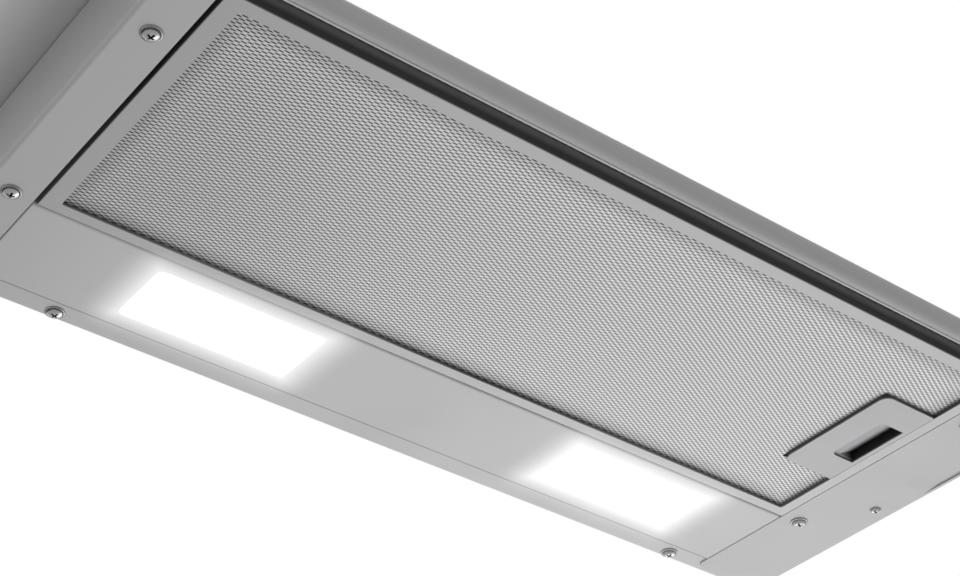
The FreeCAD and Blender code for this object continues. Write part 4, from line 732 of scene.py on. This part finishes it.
class HOOD_OT_screws(HoodOperator, bpy.types.Operator):
    """Make the domed cross-head screws, with or without a pressed collar"""
    bl_idname = "hood.screws"
    bl_label = "Screws"

    def execute(self, context):
        plated = finish("Plated screws", "Brushed lines", metallic=0.9, Colour=self.colours.plating,
                        Roughness=0.3, Stretch=(1, 1, 1), Depth=0.1)
        tree = Tree(plated.node_tree)
        # The recess layer is painted shade: dark in the cross recess and the groove, lighter on the collar.
        recess = tree.add("ShaderNodeAttribute", attribute_name="recess").outputs["Fac"]
        toned(plated, tree.spread(recess, 1.0, 0.02))
        for node, up, collar, flare in (("cover_screws", -1, True, 1), ("strip_screws", -1, True, 1),
                                        ("fascia_screw", -1, True, FASCIA_FLARE),
                                        ("housing_screws", 1, False, 1), ("collar_screws", 1, False, 1)):
            shape = bmesh.new()
            for index, (low, high) in enumerate(solids_of(node)):
                self.screw(shape, low, high, up, collar, flare, turn=FIRST_TURN + index * NEXT_TURN)
            add_piece(node.capitalize() + "_turned", shape, plated, "hood", "screw_steel", node)
        return {"FINISHED"}

    def screw(self, shape, low, high, up, collar, flare, turn):
        """One screw in the place of its plain solid: shank, collar, domed head and cross recess."""
        sizes = self.sizes
        centre = (low + high) / 2
        widest = (high.x - low.x) / 2 * flare
        head = widest * HEAD_SHARE if collar else widest
        tip, crown = (high.z, low.z) if up < 0 else (low.z, high.z)
        base = crown - up * sizes.head_rise
        profile = self.profile(tip, base, up, collar, widest, head)
        groove = head + sizes.collar_rise * 0.5
        slot_half, slot_side = head * 0.135, head * 0.04
        arm_half, arm_end = head * 0.56, head * 0.2
        # The recess layer paints shade into the groove, the collar and the cross recess.
        shade_layer = shape.verts.layers.float.get("recess") or shape.verts.layers.float.new("recess")
        for vert in turned(shape, profile, centre, DOME_STEPS):
            x, y = vert.co.x - centre.x, vert.co.y - centre.y
            out = (vert.co.xy - centre.xy).length
            if collar and head < out < groove:
                vert[shade_layer] = GROOVE_SHADE
            elif collar and out > head:
                vert[shade_layer] = COLLAR_SHADE
            if (vert.co.z - base) * up > sizes.head_rise * HEAD_EDGE:
                across = abs(x * math.cos(turn) + y * math.sin(turn))
                along = abs(y * math.cos(turn) - x * math.sin(turn))
                slot = min(1.0, max(0.0, (slot_half - min(across, along)) / slot_side))
                arm = min(1.0, max(0.0, (arm_half - max(across, along)) / arm_end))
                vert.co.z -= up * sizes.head_rise * CROSS_DEPTH * slot * arm
                vert[shade_layer] = min(1.0, slot * arm * CROSS_SHADE)

    def profile(self, tip, base, up, collar, widest, head):
        """A screw's outline from its tip to its crown, as points of (radius, height)."""
        sizes = self.sizes
        edge = sizes.collar_rise
        seat = base - up * edge if collar else base
        points = [(0.0, tip), (sizes.shank, tip), (sizes.shank, seat)]
        if collar:
            points += [(widest - edge * 0.3, seat), (widest, seat + up * edge * 0.4),
                       (widest - edge * 0.25, seat + up * edge * 0.85), (widest - edge, base),
                       (head + edge * 0.7, base - up * edge * 0.1),
                       (head + edge * 0.2, base - up * edge * 0.45)]
        else:
            points += [(head * 0.96, seat)]
        points += [(head * 0.99, base + up * sizes.head_rise * 0.1)]
        for ring in range(DOME_RINGS + 1):
            share = 1 - ring / DOME_RINGS
            height = HEAD_EDGE + (1 - HEAD_EDGE) * (1 - share ** DOME_CURVE)
            points.append((head * share, base + up * sizes.head_rise * height))
        return points


class HOOD_OT_slides(HoodOperator, bpy.types.Operator):
    """Finish the telescopic slides and the zinc brackets"""
    bl_idname = "hood.slides"
    bl_label = "Telescopic Slides"

    def execute(self, context):
        plated = finish("Plated slides", "Brushed lines", metallic=0.9, Colour=self.colours.zinc,
                        Roughness=0.3, Stretch=(1, 0.02, 1), Depth=0.15)
        for part in ("outer", "middle", "inner"):
            dress(plated, "rail_" + part + "_left", "rail_" + part + "_right")
        zinc = finish("Zinc brackets", "Zinc spangle", metallic=0.8, Colour=self.colours.zinc, Roughness=0.4)
        dress(zinc, "rail_bracket_left", "rail_bracket_right", "pivot_lug", "motor_bracket")
        return {"FINISHED"}


class HOOD_OT_housing(HoodOperator, bpy.types.Operator):
    """Finish the upper housing"""
    bl_idname = "hood.housing"
    bl_label = "Upper Housing"

    def execute(self, context):
        zinc = finish("Galvanised sheet", "Zinc spangle", metallic=0.8, Colour=self.colours.zinc,
                      Roughness=0.42, Contrast=0.16)
        dress(zinc, "upper_top", "upper_rear", "upper_front", "upper_cheek_left", "upper_cheek_right")
        return {"FINISHED"}


class HOOD_OT_blower(HoodOperator, bpy.types.Operator):
    """Finish the blower, its motor and its capacitor"""
    bl_idname = "hood.blower"
    bl_label = "Blower"

    def execute(self, context):
        scroll = finish("Scroll plastic", "Moulded texture", Colour=(0.07, 0.07, 0.073), Roughness=0.55,
                        Depth=0.4)
        dress(scroll, "scroll_left", "scroll_right")
        wheel = finish("Wheel plastic", "Moulded texture", Colour=self.colours.dark, Roughness=0.5, Depth=0.2)
        dress(wheel, "blower_wheel")
        can = finish("Motor can", "Brushed lines", metallic=0.85, Colour=(0.3, 0.3, 0.31), Roughness=0.45,
                     Stretch=(0.05, 1, 1), Depth=0.2)
        dress(can, "motor", "capacitor")
        return {"FINISHED"}


class HOOD_OT_duct(HoodOperator, bpy.types.Operator):
    """Finish the duct collar and its damper flaps"""
    bl_idname = "hood.duct"
    bl_label = "Duct Collar"

    def execute(self, context):
        plastic = finish("Duct plastic", "Moulded texture", Colour=self.colours.dark, Roughness=0.5,
                         Depth=0.3)
        dress(plastic, "duct_collar", "damper_flap_front", "damper_flap_rear")
        return {"FINISHED"}


class HOOD_OT_stage(HoodOperator, bpy.types.Operator):
    """Set the camera, the floor, the world and the soft lights"""
    bl_idname = "hood.stage"
    bl_label = "Stage"

    def execute(self, context):
        self.camera()
        self.floor()
        self.world()
        self.soft_light("Softbox below", place=(1.1, 0.85, -1.25), target=(0.1, 0.1, -0.05), power=20.0)
        self.soft_light("Softbox above", place=(0.3, 0.6, 2.0), target=(0.0, 0.0, 0.0), power=12.0)
        return {"FINISHED"}

    def camera(self):
        """The camera, below the hood and before its left front corner."""
        data = bpy.data.cameras.new("Camera")
        data.lens = 73.54
        data.sensor_width = 36.0
        data.clip_start = 0.01
        eye = bpy.data.objects.new("Camera", data)
        right = Vector((0.79759, -0.60319, -0.00223))
        up = Vector((-0.35915, -0.47785, 0.80167))
        back = right.cross(up)
        turn = Matrix((right, up, back)).transposed()
        eye.matrix_world = Matrix.Translation((-0.5532, -0.6840, -0.6693)) @ turn.to_4x4()
        bpy.context.scene.collection.objects.link(eye)
        bpy.context.scene.camera = eye

    def floor(self):
        """A pale floor, which a camera underneath it sees through."""
        mesh = bpy.data.meshes.new("Floor")
        shape = bmesh.new()
        bmesh.ops.create_grid(shape, x_segments=1, y_segments=1, size=FLOOR_SIZE,
                              matrix=Matrix.Translation((0, 0, -self.sizes.floor_drop)))
        shape.to_mesh(mesh)
        shape.free()
        floor = bpy.data.objects.new("Floor", mesh)
        bpy.context.scene.collection.objects.link(floor)
        made, tree, shader = material("Pale floor", {"Base Color": (0.8, 0.8, 0.8), "Roughness": 0.9,
                                                     "Emission Color": (1.0, 1.0, 1.0)})
        seen = tree.add("ShaderNodeLightPath").outputs["Is Camera Ray"]
        tree.feed(shader.inputs["Emission Strength"], tree.math("MULTIPLY", seen, FLOOR_GLOW))
        clear = tree.add("ShaderNodeBsdfTransparent").outputs["BSDF"]
        below = tree.math("MULTIPLY", seen, tree.add("ShaderNodeNewGeometry").outputs["Backfacing"])
        both = tree.add("ShaderNodeMixShader", {0: below, 1: shader.outputs["BSDF"], 2: clear})
        tree.feed(made.node_tree.nodes["Material Output"].inputs["Surface"], both.outputs["Shader"])
        mesh.materials.append(made)

    def world(self):
        """White where it is seen or mirrored, and a soft light, a little stronger from the right and back."""
        world = bpy.data.worlds.new("Pale studio")
        world.use_nodes = True
        bpy.context.scene.world = world
        tree = Tree(world.node_tree)
        background = world.node_tree.nodes["Background"]
        rays = tree.add("ShaderNodeLightPath").outputs
        mirrored = tree.math("MAXIMUM", rays["Is Glossy Ray"], rays["Is Transmission Ray"])
        seen = tree.math("MAXIMUM", rays["Is Camera Ray"], mirrored)
        tree.feed(background.inputs["Color"], (1.0, 1.0, 1.0))
        side = tree.add("ShaderNodeTexCoord").outputs["Generated"]
        lean = tree.vector("DOT_PRODUCT", side, LEAN)["Value"]
        ambient = tree.math("ADD", AMBIENT, lean)
        missing = tree.math("MULTIPLY", seen, tree.math("SUBTRACT", 1.0, ambient))
        tree.feed(background.inputs["Strength"], tree.math("ADD", missing, ambient))

    def soft_light(self, name, place, target, power):
        """A large square lamp that points at its target."""
        data = bpy.data.lights.new(name, "AREA")
        data.size = SOFTBOX_SIZE
        data.energy = power
        lamp = bpy.data.objects.new(name, data)
        aim = (Vector(target) - Vector(place)).to_track_quat("-Z", "Y")
        lamp.matrix_world = Matrix.Translation(place) @ aim.to_matrix().to_4x4()
        bpy.context.scene.collection.objects.link(lamp)


class HOOD_PT_panel(bpy.types.Panel):
    """Lists the steps and their values"""
    bl_idname = "HOOD_PT_panel"
    bl_label = "Range Hood"
    bl_space_type = "VIEW_3D"
    bl_region_type = "UI"
    bl_category = "Hood"

    def draw(self, context):
        layout = self.layout
        for values in (context.scene.hood_colours, context.scene.hood_sizes):
            column = layout.column()
            for name in values.__annotations__:
                column.prop(values, name)
        for step in STEPS:
            layout.operator(step.bl_idname)


STEPS = (HOOD_OT_stage, HOOD_OT_tray, HOOD_OT_grip_bar, HOOD_OT_grease_filter, HOOD_OT_latch, HOOD_OT_lamps,
         HOOD_OT_controls, HOOD_OT_screws, HOOD_OT_slides, HOOD_OT_housing, HOOD_OT_blower, HOOD_OT_duct)
CLASSES = (HoodColours, HoodSizes, *STEPS, HOOD_PT_panel)


def register():
    for entry in CLASSES:
        bpy.utils.register_class(entry)
    bpy.types.Scene.hood_colours = PointerProperty(type=HoodColours)
    bpy.types.Scene.hood_sizes = PointerProperty(type=HoodSizes)


def unregister():
    del bpy.types.Scene.hood_colours
    del bpy.types.Scene.hood_sizes
    for entry in reversed(CLASSES):
        bpy.utils.unregister_class(entry)


def main():
    register()
    bpy.context.scene.view_settings.view_transform = "Standard"
    for step in STEPS:
        area, name = step.bl_idname.split(".")
        getattr(getattr(bpy.ops, area), name)()


if __name__ == "__main__":
    main()
